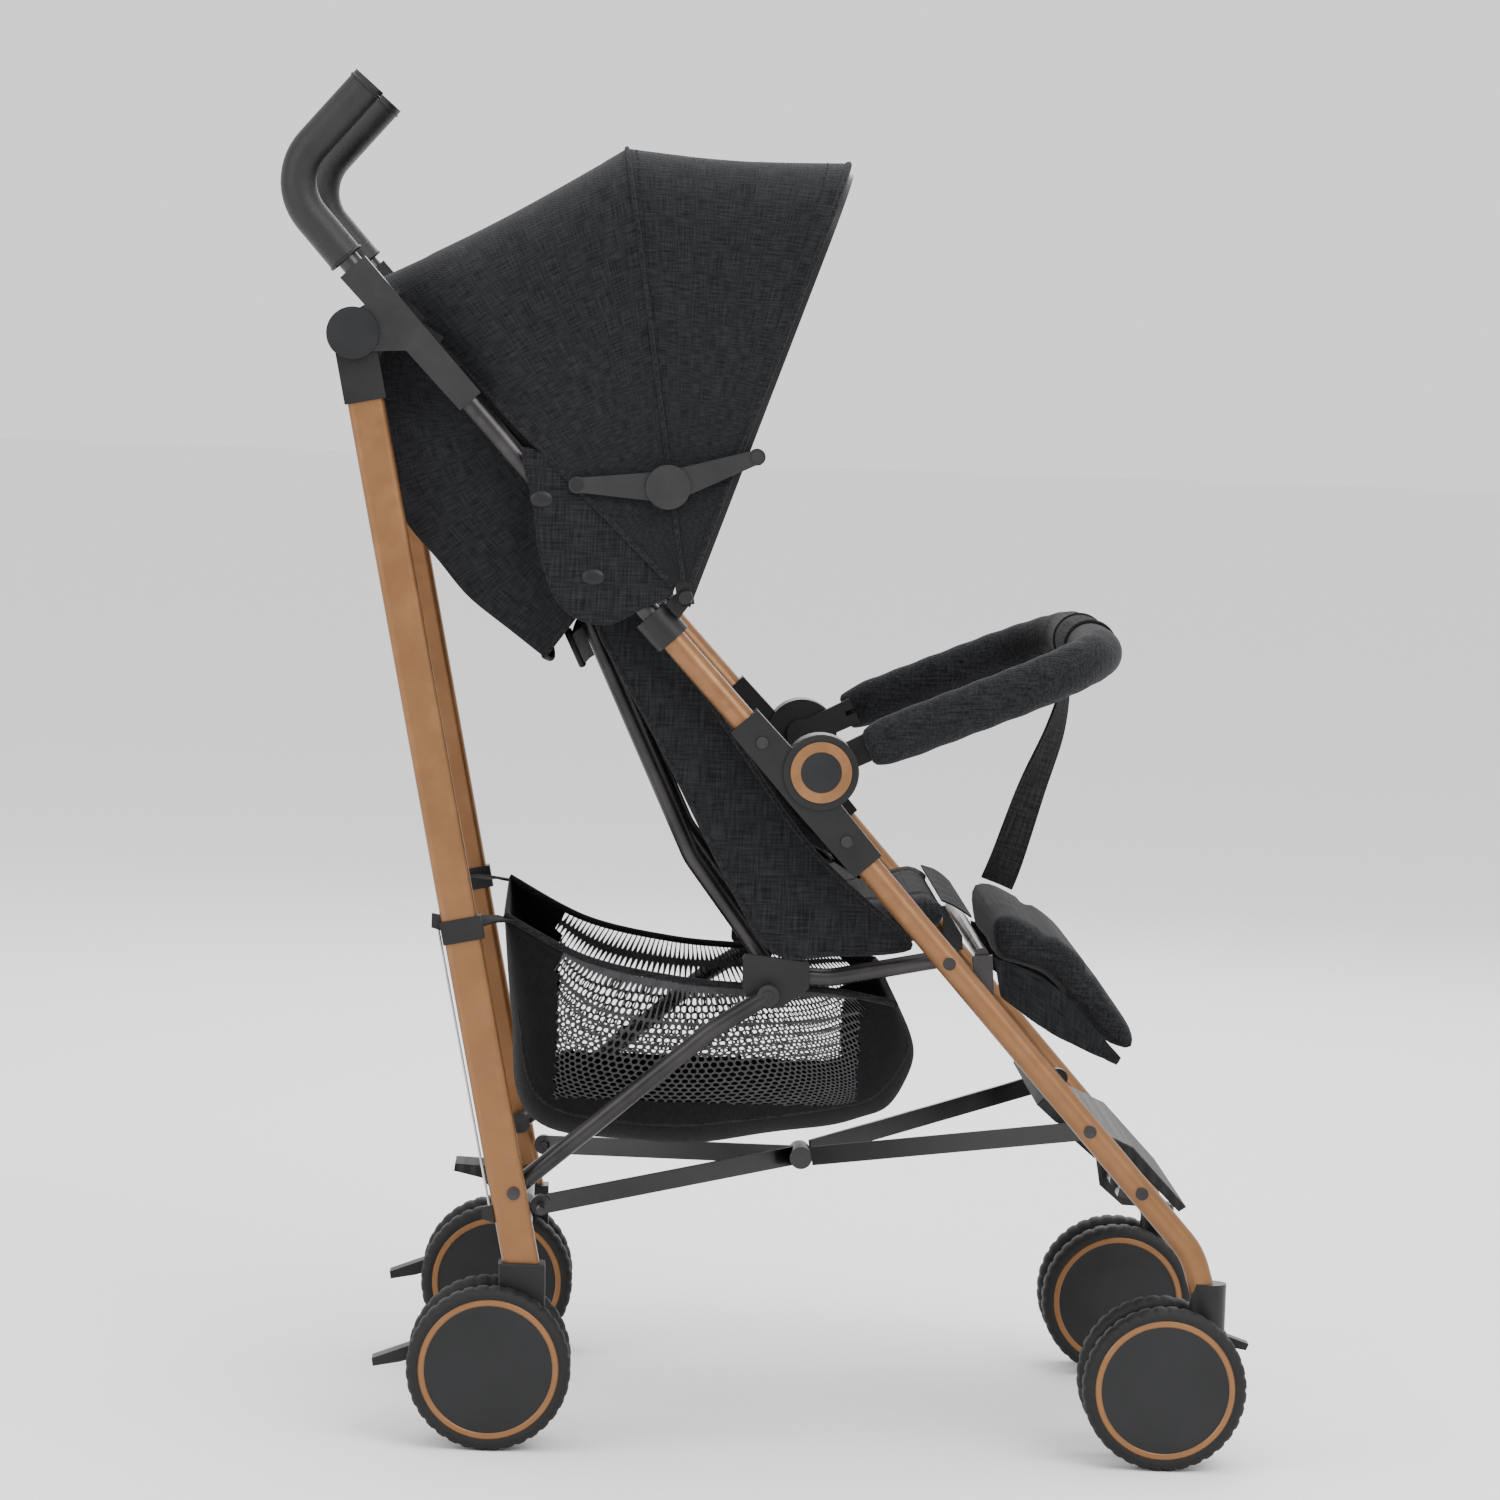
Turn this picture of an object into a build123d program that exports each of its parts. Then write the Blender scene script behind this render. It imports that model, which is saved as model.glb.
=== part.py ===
"""Folding umbrella stroller, modelled as separate pieces in one shared frame.

+X points forward, +Y to the left and +Z up. The origin is on the floor, in the middle of the stroller.
All sizes are in millimetres. Side-view points are written as (x, z).
"""

import math
import os

from build123d import *

os.makedirs("parts", exist_ok=True)

# ---- driving dimensions ----
half_track = 205.0  # middle plane of each leg
tube_radius = 10.0  # round side tubes
tube_wall = 1.4
inner_tube_radius = 7.0  # seat rails, struts and backrest
rail_y = 168.0
strut_y = 187.0
back_y = 148.0
wheel_radius = 63.5
wheel_width = 22.0
wheel_spread = 26.0  # each wheel of a pair, from its leg
running_gap = 0.06
rivet_radius = 5.0
canopy_half_width = 178.0

# ---- side-view points ----
handle_top = (-319.0, 1040.0)
handle_bend = (-386.0, 986.0)
handle_low = (-330.0, 908.0)
channel_top = (-325.0, 902.0)
channel_low = (-232.0, 803.0)
fold_hub = (-323.0, 852.0)
tube_top = (-240.0, 811.0)
collar_point = (-85.8, 642.0)
arm_hub = (45.4, 529.4)
leg_knee = (36.0, 511.5)
leg_bend = (347.0, 165.0)
leg_foot = (360.5, 121.0)
rail_pivot = (150.0, 385.0)
seat_corner = (12.0, 353.0)
back_pivot = (7.5, 372.3)
strut_pivot = (-179.0, 196.0)
rear_leg_bend = (-176.1, 162.8)
rear_leg_foot = (-166.5, 118.0)
rear_axle = (-193.8, wheel_radius)
front_axle = (327.0, wheel_radius)
canopy_pivot = (-63.5, 659.9)
canopy_rear = (-308.0, 893.0)
canopy_mid = (-119.2, 1000.0)
canopy_front = (51.9, 995.0)


def at(point, y):
    """Place a side-view point at a distance across."""
    return (point[0], y, point[1])


def between(a, b, share):
    """The point part of the way from a to b."""
    return (a[0] + (b[0] - a[0]) * share, a[1] + (b[1] - a[1]) * share)


def side_plane(y):
    """A plane across the stroller, with its own x forward, its own y up and its normal to the right."""
    return Plane(origin=(0, y, 0), x_dir=(1, 0, 0), z_dir=(0, -1, 0))


def tube(points, radius, wall, bend=0.0, pair=True):
    """A bent round tube along points, and its mirror image on the other side."""
    with BuildPart() as piece:
        with BuildLine() as route:
            if bend > 0:
                FilletPolyline(*points, radius=bend)
            else:
                Polyline(*points)
        with BuildSketch(Plane(origin=route.line @ 0, z_dir=route.line % 0)):
            Circle(radius)
            if wall > 0:
                Circle(radius - wall, mode=Mode.SUBTRACT)
        sweep(path=route.line, transition=Transition.ROUND)
        if pair:
            mirror(about=Plane.XZ)
    return piece.part


def cylinders(points, radius, low_y, high_y, bore=0.0, pair=True):
    """Round pieces lying across the stroller, one at each side-view point."""
    with BuildPart() as piece:
        with BuildSketch(side_plane(high_y)):
            with Locations(*points):
                Circle(radius)
                if bore > 0:
                    Circle(bore, mode=Mode.SUBTRACT)
        extrude(amount=high_y - low_y)
        if pair:
            mirror(about=Plane.XZ)
    return piece.part


def plate(points, low_y, high_y, soften=0.0, corner=0.0, pair=True):
    """A flat plate with the given side-view outline."""
    with BuildPart() as piece:
        with BuildSketch(side_plane(high_y)) as outline:
            with BuildLine():
                Polyline(*points, close=True)
            make_face()
            if corner > 0:
                fillet(outline.vertices(), corner)
        extrude(amount=high_y - low_y)
        if soften > 0:
            chamfer(piece.faces().filter_by(Axis.Y).edges(), soften)
        if pair:
            mirror(about=Plane.XZ)
    return piece.part


def bar_outline(start, end, width_start, width_end):
    """Four side-view corners of a straight bar between two points."""
    length = math.dist(start, end)
    across = (-(end[1] - start[1]) / length, (end[0] - start[0]) / length)
    corners = []
    for point, width, sign in (
        (start, width_start, 1),
        (start, width_start, -1),
        (end, width_end, -1),
        (end, width_end, 1),
    ):
        shift = sign * width / 2
        corners.append((point[0] + across[0] * shift, point[1] + across[1] * shift))
    return corners


def join(*pieces):
    """Several pieces that make up one node."""
    with BuildPart() as whole:
        for piece in pieces:
            add(piece)
    return whole.part


def save(part, name):
    """Name a part and write its file."""
    part.label = name
    export_step(part, "parts/" + name + ".step")


# ---- front frame ----
front_legs = tube(
    [at(leg_knee, half_track), at(leg_bend, half_track), at(leg_foot, half_track)],
    tube_radius,
    tube_wall,
    bend=55.0,
)
save(front_legs, "front_legs")

upper_links = tube(
    [at(collar_point, half_track), at(leg_knee, half_track)],
    tube_radius,
    tube_wall,
)
save(upper_links, "upper_links")

upper_tubes = tube(
    [at(tube_top, half_track), at(collar_point, half_track)],
    tube_radius - 1.5,
    tube_wall,
)

with BuildPart() as collars:
    collar_start = between(collar_point, tube_top, 0.02)
    collar_end = between(collar_point, leg_knee, 0.12)
    with BuildLine() as collar_route:
        Line(at(collar_start, half_track), at(collar_end, half_track))
    with BuildSketch(Plane(origin=collar_route.line @ 0, z_dir=collar_route.line % 0)):
        Circle(tube_radius + 5)
        Circle(tube_radius + 0.3, mode=Mode.SUBTRACT)
    sweep(path=collar_route.line)
    mirror(about=Plane.XZ)

channel_axis = bar_outline(channel_top, channel_low, 25.0, 21.0)
with BuildPart() as channels:
    with BuildSketch(side_plane(half_track + 11)):
        with BuildLine():
            Polyline(*channel_axis, close=True)
        make_face()
    extrude(amount=22)
    with BuildSketch(side_plane(half_track + 9)):
        with BuildLine():
            channel_end = between(channel_low, channel_top, -0.2)
            Polyline(*bar_outline(channel_top, channel_end, 20.0, 17.0), close=True)
        make_face()
    extrude(amount=18, mode=Mode.SUBTRACT)
    with BuildSketch(side_plane(half_track + 11)):
        with BuildLine():
            Polyline(
                between(channel_top, channel_low, 0.22),
                between(channel_top, channel_low, 0.62),
                (-318.0, 838.0),
                (-336.0, 850.0),
                (-327.0, 866.0),
                close=True,
            )
        make_face()
    extrude(amount=2)
    mirror(about=Plane.XZ.offset(-half_track))
    with Locations(Plane(origin=at(fold_hub, half_track), z_dir=(0, 1, 0))):
        Cylinder(4.0 + running_gap, 40, mode=Mode.SUBTRACT)
    mirror(about=Plane.XZ)
save(channels.part, "channels")

fold_pins = cylinders([fold_hub], 4.0, half_track - 11, half_track + 11)
fold_covers = cylinders([fold_hub], 20.0, half_track + 11, half_track + 20)
save(join(fold_pins, fold_covers), "fold_pins")

handle_route = [
    at(between(handle_low, channel_low, 0.3), half_track),
    at((-382.0, 966.0), half_track),
    at(handle_top, half_track),
]
handle_tubes = tube(handle_route, tube_radius - 1.5, tube_wall, bend=42.0)
save(join(upper_tubes, handle_tubes), "upper_tubes")
grip_route = [at(handle_low, half_track), at((-382.0, 966.0), half_track), at(handle_top, half_track)]
with BuildPart() as grips:
    with BuildLine() as grip_line:
        FilletPolyline(*grip_route, radius=42.0)
    with BuildSketch(Plane(origin=grip_line.line @ 0, z_dir=grip_line.line % 0)):
        Circle(13.8)
        Circle(8.9, mode=Mode.SUBTRACT)
    sweep(path=grip_line.line)
    with BuildSketch(Plane(origin=grip_line.line @ 1, z_dir=grip_line.line % 1)):
        Circle(13.8)
    extrude(amount=4)
    with BuildLine() as handle_line:
        FilletPolyline(*handle_route, radius=42.0)
    with BuildSketch(Plane(origin=handle_line.line @ 0, z_dir=handle_line.line % 0)):
        Circle(tube_radius - 1.1)
    sweep(path=handle_line.line, mode=Mode.SUBTRACT)
    mirror(about=Plane.XZ)
save(grips.part, "grips")

# ---- arm hub housings ----
hub_inner = half_track - 14.5
hub_outer = half_track + 15.5
sleeve_top = between(leg_knee, collar_point, 0.42)
sleeve_low = between(leg_knee, leg_bend, 0.155)
with BuildPart() as hub_housings:
    for sleeve_end in (sleeve_top, sleeve_low):
        with BuildSketch(side_plane(half_track + 13)):
            with BuildLine():
                Polyline(*bar_outline(leg_knee, sleeve_end, 30.0, 27.0), close=True)
            make_face()
        extrude(amount=23.4)
    with BuildSketch(side_plane(hub_outer)):
        with Locations(arm_hub):
            Circle(29.0)
    extrude(amount=hub_outer - hub_inner)
    with BuildLine() as housing_line:
        Polyline(
            at(between(leg_knee, collar_point, 0.5), half_track),
            at(leg_knee, half_track),
            at(between(leg_knee, leg_bend, 0.2), half_track),
        )
    with BuildSketch(Plane(origin=housing_line.line @ 0, z_dir=housing_line.line % 0)):
        Circle(tube_radius)
    sweep(path=housing_line.line, transition=Transition.ROUND, mode=Mode.SUBTRACT)
    with Locations(Plane(origin=at(arm_hub, hub_inner), z_dir=(0, 1, 0))):
        Cylinder(6.0 + running_gap, 8, mode=Mode.SUBTRACT)
    mirror(about=Plane.XZ)
save(hub_housings.part, "hub_housings")
save(cylinders([arm_hub], 23.5, hub_outer, hub_outer + 1.5, bore=15.7), "hub_rings")
save(cylinders([arm_hub], 15.6, hub_outer, hub_outer + 2.0), "hub_caps")

front_rivets = [
    between(leg_knee, leg_bend, 0.365),
    between(leg_knee, leg_bend, 0.73),
    between(leg_knee, leg_bend, 0.865),
]
leg_rivets = cylinders(front_rivets, rivet_radius, half_track + 9.95, half_track + 12)
screw_points = [between(leg_knee, collar_point, 0.3), between(leg_knee, leg_bend, 0.1)]
sleeve_screws = cylinders(screw_points, 4.5, half_track + 13, half_track + 15)
save(join(leg_rivets, sleeve_screws), "front_rivets")

# ---- front seat rod, caster sockets and footrest ----
rod_point = (176.0, 390.0)
lug_low = between(leg_knee, leg_bend, 0.46)
rod_reach = half_track - 14.5
rod_lugs = plate(bar_outline(rod_point, lug_low, 16.0, 16.0), rod_reach, half_track - 10.2, soften=0.6)
rod_bar = cylinders([rod_point], 5.5, -rod_reach, rod_reach, pair=False)
save(join(rod_lugs, rod_bar), "seat_rod")

with BuildPart() as sockets:
    with Locations((leg_foot[0], half_track, 104.5)):
        Cylinder(14.0, 38, align=(Align.CENTER, Align.CENTER, Align.MIN))
        Cylinder(4.0 + running_gap, 18, align=(Align.CENTER, Align.CENTER, Align.MIN), mode=Mode.SUBTRACT)
    with BuildLine() as socket_line:
        leg_points = [at(point, half_track) for point in (leg_knee, leg_bend, leg_foot)]
        FilletPolyline(*leg_points, radius=55.0)
    with BuildSketch(Plane(origin=socket_line.line @ 1, z_dir=socket_line.line % 1)):
        Circle(tube_radius)
    extrude(amount=-60, mode=Mode.SUBTRACT)
    mirror(about=Plane.XZ)
save(sockets.part, "caster_sockets")

footrest_width = 264.0
foot_outline = [
    (233.0, 273.0),
    (246.0, 262.0),
    (305.0, 236.0),
    (349.0, 190.0),
    (343.0, 186.0),
    (299.0, 229.0),
    (243.0, 254.0),
    (228.0, 267.0),
]
foot_board = plate(foot_outline, -footrest_width / 2, footrest_width / 2, soften=1.0, pair=False)
gusset_outline = [(274.0, 239.0), (299.0, 228.0), (338.0, 188.5), (298.0, 190.0), (280.0, 205.0)]
gussets = plate(gusset_outline, footrest_width / 2 - 6, footrest_width / 2 - 1)
with BuildPart() as footrest:
    add(foot_board)
    add(gussets)
    with Locations(Plane(origin=at((290.0, 215.0), 0), z_dir=(0, 1, 0))):
        Cylinder(6.0, 2 * footrest_width, mode=Mode.SUBTRACT)
save(footrest.part, "footrest")
foot_rod = between(leg_knee, leg_bend, 0.865)
foot_joint = (290.0, 215.0)
foot_rail = cylinders([foot_joint], 6.0, -172.0, 172.0, pair=False)
foot_brackets = plate(bar_outline(foot_joint, foot_rod, 18.0, 18.0), 172.0, half_track - 10.2)
save(join(foot_rail, foot_brackets), "foot_bar")

# ---- bumper bar ----
bumper_y = 203.0
bumper_back = (81.0, 548.0)
bumper_front = (262.0, 624.0)
bumper_radius = 19.0
with BuildPart() as bumper_pad:
    with BuildLine() as bumper_line:
        FilletPolyline(
            at(bumper_back, bumper_y),
            at(bumper_front, bumper_y),
            at(bumper_front, -bumper_y),
            at(bumper_back, -bumper_y),
            radius=80.0,
        )
    with BuildSketch(Plane(origin=bumper_line.line @ 0, z_dir=bumper_line.line % 0)):
        Circle(bumper_radius)
    sweep(path=bumper_line.line)
save(bumper_pad.part, "bumper_pad")
with BuildPart() as bumper_arms:
    with BuildSketch(side_plane(hub_inner - 0.4)):
        with BuildLine():
            Polyline(*bar_outline(arm_hub, between(bumper_back, bumper_front, 0.04), 20.0, 22.0), close=True)
        make_face()
        with Locations(arm_hub):
            Circle(13.0)
    extrude(amount=6)
    with Locations(Plane(origin=at(arm_hub, hub_inner - 0.4), z_dir=(0, 1, 0))):
        Cylinder(6.0, 4.4, align=(Align.CENTER, Align.CENTER, Align.MIN))
    with BuildLine() as bumper_end_line:
        Line(at(bumper_back, bumper_y), at(bumper_front, bumper_y))
    with BuildSketch(Plane(origin=bumper_end_line.line @ 0, z_dir=bumper_end_line.line % 0)):
        Circle(bumper_radius)
    extrude(amount=40, mode=Mode.SUBTRACT)
    mirror(about=Plane.XZ)
save(bumper_arms.part, "bumper_arms")
strap_outline = [
    (249.0, 612.0),
    (246.0, 560.0),
    (222.0, 500.0),
    (205.0, 440.0),
    (202.0, 426.0),
    (198.0, 427.0),
    (201.0, 442.0),
    (218.0, 502.0),
    (241.0, 561.0),
    (244.0, 614.0),
]
save(plate(strap_outline, -14.0, 14.0, pair=False), "crotch_strap")

# ---- canopy ----
bow_thickness = 3.0
bow_width = 13.0
mid_bow_y = 220.0
front_bow_y = 216.5
panel_y = 224.0


def direction(a, b):
    """Angle of the way from a to b in side view, in degrees."""
    return math.degrees(math.atan2(b[1] - a[1], b[0] - a[0]))


def arch(top, half_width, radius, height, low, width):
    """A solid arch standing on the canopy pivot, rounded at its two top corners."""
    angle = math.radians(direction(canopy_pivot, top))
    place = Plane(
        origin=at(canopy_pivot, 0),
        x_dir=(0, 1, 0),
        z_dir=(math.sin(angle), 0, -math.cos(angle)),
    )
    with BuildPart() as piece:
        with BuildSketch(place.offset(-width / 2)) as outline:
            with Locations((0, (low + height) / 2)):
                Rectangle(2 * half_width, height - low)
            fillet(outline.vertices().group_by(Axis.Y)[-1], radius)
        extrude(amount=width)
    return piece.part


def bow(top, half_width, radius, low):
    """A flat arched strip, with pivot holes when its legs reach the canopy pivot."""
    height = math.dist(canopy_pivot, top) - 6.5
    with BuildPart() as piece:
        add(arch(top, half_width, radius, height, low, bow_width))
        inner_arch = arch(
            top,
            half_width - bow_thickness,
            radius - bow_thickness,
            height - bow_thickness,
            low - 5,
            bow_width + 2,
        )
        add(inner_arch, mode=Mode.SUBTRACT)
        with Locations(Plane(origin=at(canopy_pivot, 0), z_dir=(0, 1, 0))):
            Cylinder(2.5 + running_gap, half_width * 3, mode=Mode.SUBTRACT)
    return piece.part


def roof_block(points, half_width, radius):
    """A solid wedge across the stroller, rounded along its two long roof edges."""
    with BuildPart() as piece:
        with BuildSketch(side_plane(half_width)):
            with BuildLine():
                Polyline(*points, close=True)
            make_face()
        extrude(amount=2 * half_width)
        middle = between(points[1], points[2], 0.5)
        roof = piece.faces().sort_by_distance((middle[0], 0, middle[1]))[0]
        side_edges = roof.edges().filter_by(lambda e: abs(e.center().Y) > half_width - 0.01)
        fillet(side_edges, radius)
    return piece.part


def canopy_panel(back, front, cloth):
    """One panel of the canopy: a roof and two sides, open at both ends."""
    length = math.dist(canopy_pivot, back)
    shrink = cloth / length
    inner_back = between(back, canopy_pivot, shrink)
    inner_front = between(front, canopy_pivot, cloth / math.dist(canopy_pivot, front))
    wide_back = between(inner_back, inner_front, -0.3)
    wide_front = between(inner_back, inner_front, 1.3)
    low_point = between(canopy_pivot, between(back, front, 0.5), -0.3)
    with BuildPart() as piece:
        add(roof_block([canopy_pivot, back, front], panel_y, 68.0))
        hollow = roof_block([low_point, wide_back, wide_front], panel_y - cloth, 68.0 - cloth)
        add(hollow, mode=Mode.SUBTRACT)
        with Locations(Plane(origin=at(canopy_pivot, 0), z_dir=(0, 1, 0))):
            Cylinder(7.5, 3 * panel_y, mode=Mode.SUBTRACT)
    return piece.part


canopy_cloth = 2.5
rear_bow_y = 190.0
tube_way_outline = bar_outline((-345.0, 924.0), (-182.0, 747.0), 44.0, 44.0)
tube_way_through = plate(tube_way_outline, rear_bow_y + 1, panel_y + 2)
with BuildPart() as canopy_rear_panel:
    add(canopy_panel(canopy_rear, canopy_mid, canopy_cloth))
    add(tube_way_through, mode=Mode.SUBTRACT)
save(canopy_rear_panel.part, "canopy_rear_panel")
save(canopy_panel(canopy_mid, canopy_front, canopy_cloth), "canopy_front_panel")
save(bow(canopy_mid, mid_bow_y, 64.0, -6.0), "canopy_mid_bow")
save(bow(canopy_front, front_bow_y, 62.0, -6.0), "canopy_front_bow")
bow_clips = plate(bar_outline((-287.0, 863.0), (-258.0, 845.0), 14.0, 14.0), rear_bow_y, half_track - 11)
save(join(bow(canopy_rear, rear_bow_y, 50.0, 130.0), bow_clips), "canopy_rear_bow")

collar_lug = between(collar_point, leg_knee, 0.03)
with BuildPart() as canopy_lugs:
    with BuildSketch(side_plane(front_bow_y - bow_thickness - 0.3)):
        with BuildLine():
            Polyline(*bar_outline(canopy_pivot, collar_lug, 13.0, 18.0), close=True)
        make_face()
        with Locations(canopy_pivot):
            Circle(6.5)
    extrude(amount=4)
    with Locations(Plane(origin=at(canopy_pivot, half_track + 5), z_dir=(0, 1, 0))):
        Cylinder(2.5, panel_y + 1 - half_track - 5, align=(Align.CENTER, Align.CENTER, Align.MIN))
    with Locations(Plane(origin=at(canopy_pivot, panel_y), z_dir=(0, 1, 0))):
        Cylinder(5.5, 2.4, align=(Align.CENTER, Align.CENTER, Align.MIN))
    with BuildLine() as lug_line:
        Line(at(tube_top, half_track), at(leg_knee, half_track))
    with BuildSketch(Plane(origin=lug_line.line @ 0, z_dir=lug_line.line % 0)):
        Circle(tube_radius + 5)
    sweep(path=lug_line.line, mode=Mode.SUBTRACT)
    mirror(about=Plane.XZ)
save(join(collars.part, canopy_lugs.part), "collars")

# ---- canopy stays ----
stay_rear = (-148.8, 742.7)
stay_knuckle = (-79.6, 743.7)
stay_front = (-12.7, 768.9)
stay_y = panel_y + 1.0
with BuildPart() as stay_rear_arms:
    with BuildSketch(side_plane(stay_y + 2.5)):
        with BuildLine():
            Polyline(*bar_outline(stay_rear, stay_knuckle, 11.0, 24.0), close=True)
        make_face()
        with Locations(stay_rear):
            Circle(6.5)
        with Locations(stay_knuckle):
            Circle(14.0)
            Circle(3.0 + running_gap, mode=Mode.SUBTRACT)
        with Locations(stay_rear):
            Circle(2.5 + running_gap, mode=Mode.SUBTRACT)
    extrude(amount=2.5)
    mirror(about=Plane.XZ)
save(stay_rear_arms.part, "stay_rear_arms")
with BuildPart() as stay_front_arms:
    with BuildSketch(side_plane(stay_y + 5.2)):
        with BuildLine():
            Polyline(*bar_outline(stay_knuckle, stay_front, 24.0, 11.0), close=True)
        make_face()
        with Locations(stay_front):
            Circle(6.5)
        with Locations(stay_knuckle):
            Circle(14.0)
    extrude(amount=2.6)
    with BuildSketch(side_plane(stay_y + 9)):
        with Locations(stay_knuckle):
            Circle(17.0)
    extrude(amount=3.8)
    with Locations(Plane(origin=at(stay_knuckle, stay_y), z_dir=(0, 1, 0))):
        Cylinder(3.0, 4, align=(Align.CENTER, Align.CENTER, Align.MIN))
    with Locations(Plane(origin=at(stay_front, stay_y + 5.2), z_dir=(0, 1, 0))):
        Cylinder(4.5, 2, align=(Align.CENTER, Align.CENTER, Align.MIN))
    mirror(about=Plane.XZ)
save(stay_front_arms.part, "stay_front_arms")
with BuildPart() as stay_studs:
    with Locations(Plane(origin=at(stay_rear, panel_y), z_dir=(0, 1, 0))):
        Cylinder(2.5, 4.5, align=(Align.CENTER, Align.CENTER, Align.MIN))
    with Locations(Plane(origin=at(stay_rear, stay_y + 2.7), z_dir=(0, 1, 0))):
        Cylinder(4.5, 2, align=(Align.CENTER, Align.CENTER, Align.MIN))
    mirror(about=Plane.XZ)
save(stay_studs.part, "stay_studs")

# ---- rear frame ----
rear_leg_depth = 28.0
rear_leg_thick = 14.0
with BuildPart() as rear_legs:
    with BuildLine() as rear_leg_line:
        FilletPolyline(
            at(between(fold_hub, rear_leg_bend, 0.035), half_track),
            at(rear_leg_bend, half_track),
            at(rear_leg_foot, half_track),
            radius=60.0,
        )
    with BuildSketch(Plane(origin=rear_leg_line.line @ 0, x_dir=(0, 1, 0), z_dir=rear_leg_line.line % 0)):
        RectangleRounded(rear_leg_thick, rear_leg_depth, 5.0)
        RectangleRounded(rear_leg_thick - 3, rear_leg_depth - 3, 3.5, mode=Mode.SUBTRACT)
    sweep(path=rear_leg_line.line)
    mirror(about=Plane.XZ)
save(rear_legs.part, "rear_legs")
with BuildPart() as leg_cores:
    with BuildSketch(Plane(origin=rear_leg_line.line @ 0, x_dir=(0, 1, 0), z_dir=rear_leg_line.line % 0)):
        RectangleRounded(rear_leg_thick, rear_leg_depth, 5.0)
    sweep(path=rear_leg_line.line)
    mirror(about=Plane.XZ)
with BuildPart() as knuckles:
    with BuildSketch(side_plane(half_track + 8.7)):
        with BuildLine():
            Polyline(*bar_outline(fold_hub, between(fold_hub, rear_leg_bend, 0.075), 32.0, 32.0), close=True)
        make_face()
        with Locations(fold_hub):
            Circle(19.5)
            Circle(4.0 + running_gap, mode=Mode.SUBTRACT)
    extrude(amount=17.4)
    add(leg_cores.part, mode=Mode.SUBTRACT)
    mirror(about=Plane.XZ)
save(knuckles.part, "fold_knuckles")

block_outline = [
    (-189.0, 142.0),
    (-153.0, 142.0),
    (-152.0, 108.0),
    (-176.0, 50.0),
    (-206.0, 50.0),
    (-207.0, 76.0),
    (-187.0, 100.0),
]
with BuildPart() as axle_blocks:
    add(plate(block_outline, half_track - 13.5, half_track + 13.5, soften=1.0, pair=False))
    for ear_y in (half_track - 13.5, half_track + 10.5):
        add(plate(bar_outline((-216.0, 86.0), (-190.0, 90.0), 12.0, 14.0), ear_y, ear_y + 3, pair=False))
    with Locations(Plane(origin=at((-216.0, 86.0), half_track - 13.5), z_dir=(0, 1, 0))):
        Cylinder(3.0, 27, align=(Align.CENTER, Align.CENTER, Align.MIN))
    with Locations(Plane(origin=at(rear_axle, half_track), z_dir=(0, 1, 0))):
        Cylinder(4.0, 60, mode=Mode.SUBTRACT)
    mirror(about=Plane.XZ)
    add(leg_cores.part, mode=Mode.SUBTRACT)
axle_reach = wheel_spread + wheel_width / 2 - 4
rear_axles = cylinders([rear_axle], 4.0, half_track - axle_reach, half_track + axle_reach)
save(join(axle_blocks.part, rear_axles), "axle_blocks")

brace_rear = (-158.0, 181.0)
cross_bar = (-172.5, 150.0)
rear_bar = cylinders([cross_bar], 8.0, -(half_track - 7.1), half_track - 7.1, pair=False)
brace_pins = cylinders([brace_rear], 3.0, 160.0, half_track - 7.1)
save(join(rear_bar, brace_pins), "rear_cross_bar")
save(cylinders([strut_pivot], rivet_radius, half_track + 7.1, half_track + 9.5), "rear_rivets")
strap_point = (-225.4, 398.0)
strap_width = 18.0
leg_way = (rear_leg_bend[0] - fold_hub[0], rear_leg_bend[1] - fold_hub[1])
leg_length = math.hypot(*leg_way)
leg_step = (leg_way[0] / leg_length, leg_way[1] / leg_length)
strap_ends = [
    (strap_point[0] - leg_step[0] * strap_width / 2, strap_point[1] - leg_step[1] * strap_width / 2),
    (strap_point[0] + leg_step[0] * strap_width / 2, strap_point[1] + leg_step[1] * strap_width / 2),
]
with BuildPart() as strap_clips:
    add(plate(bar_outline(*strap_ends, 32.0, 32.0), half_track - 9, half_track + 9, pair=False))
    clip_lip = [(-238.0, 396.0), (-249.0, 399.0), (-249.0, 410.0), (-237.0, 408.0)]
    add(plate(clip_lip, 202.0, 208.0, pair=False))
    mirror(about=Plane.XZ)
    add(leg_cores.part, mode=Mode.SUBTRACT)
cord_top = (-243.5, 397.4)
cord_low = (-197.5, 185.3)
with BuildPart() as pull_cords:
    for cord_shift in (-2.6, 2.6):
        with BuildLine() as cord_line:
            Line(at(cord_top, half_track + cord_shift * 0.5), at(cord_low, half_track + cord_shift))
        with BuildSketch(Plane(origin=cord_line.line @ 0, z_dir=cord_line.line % 0)):
            Circle(0.9)
        sweep(path=cord_line.line)
    mirror(about=Plane.XZ)
save(pull_cords.part, "pull_cords")
cord_anchors = plate([(-192.5, 172.0), (-203.0, 175.0), (-203.0, 184.0), (-195.5, 186.0)], 201.0, 209.0)
save(join(strap_clips.part, cord_anchors), "strap_clips")

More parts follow.
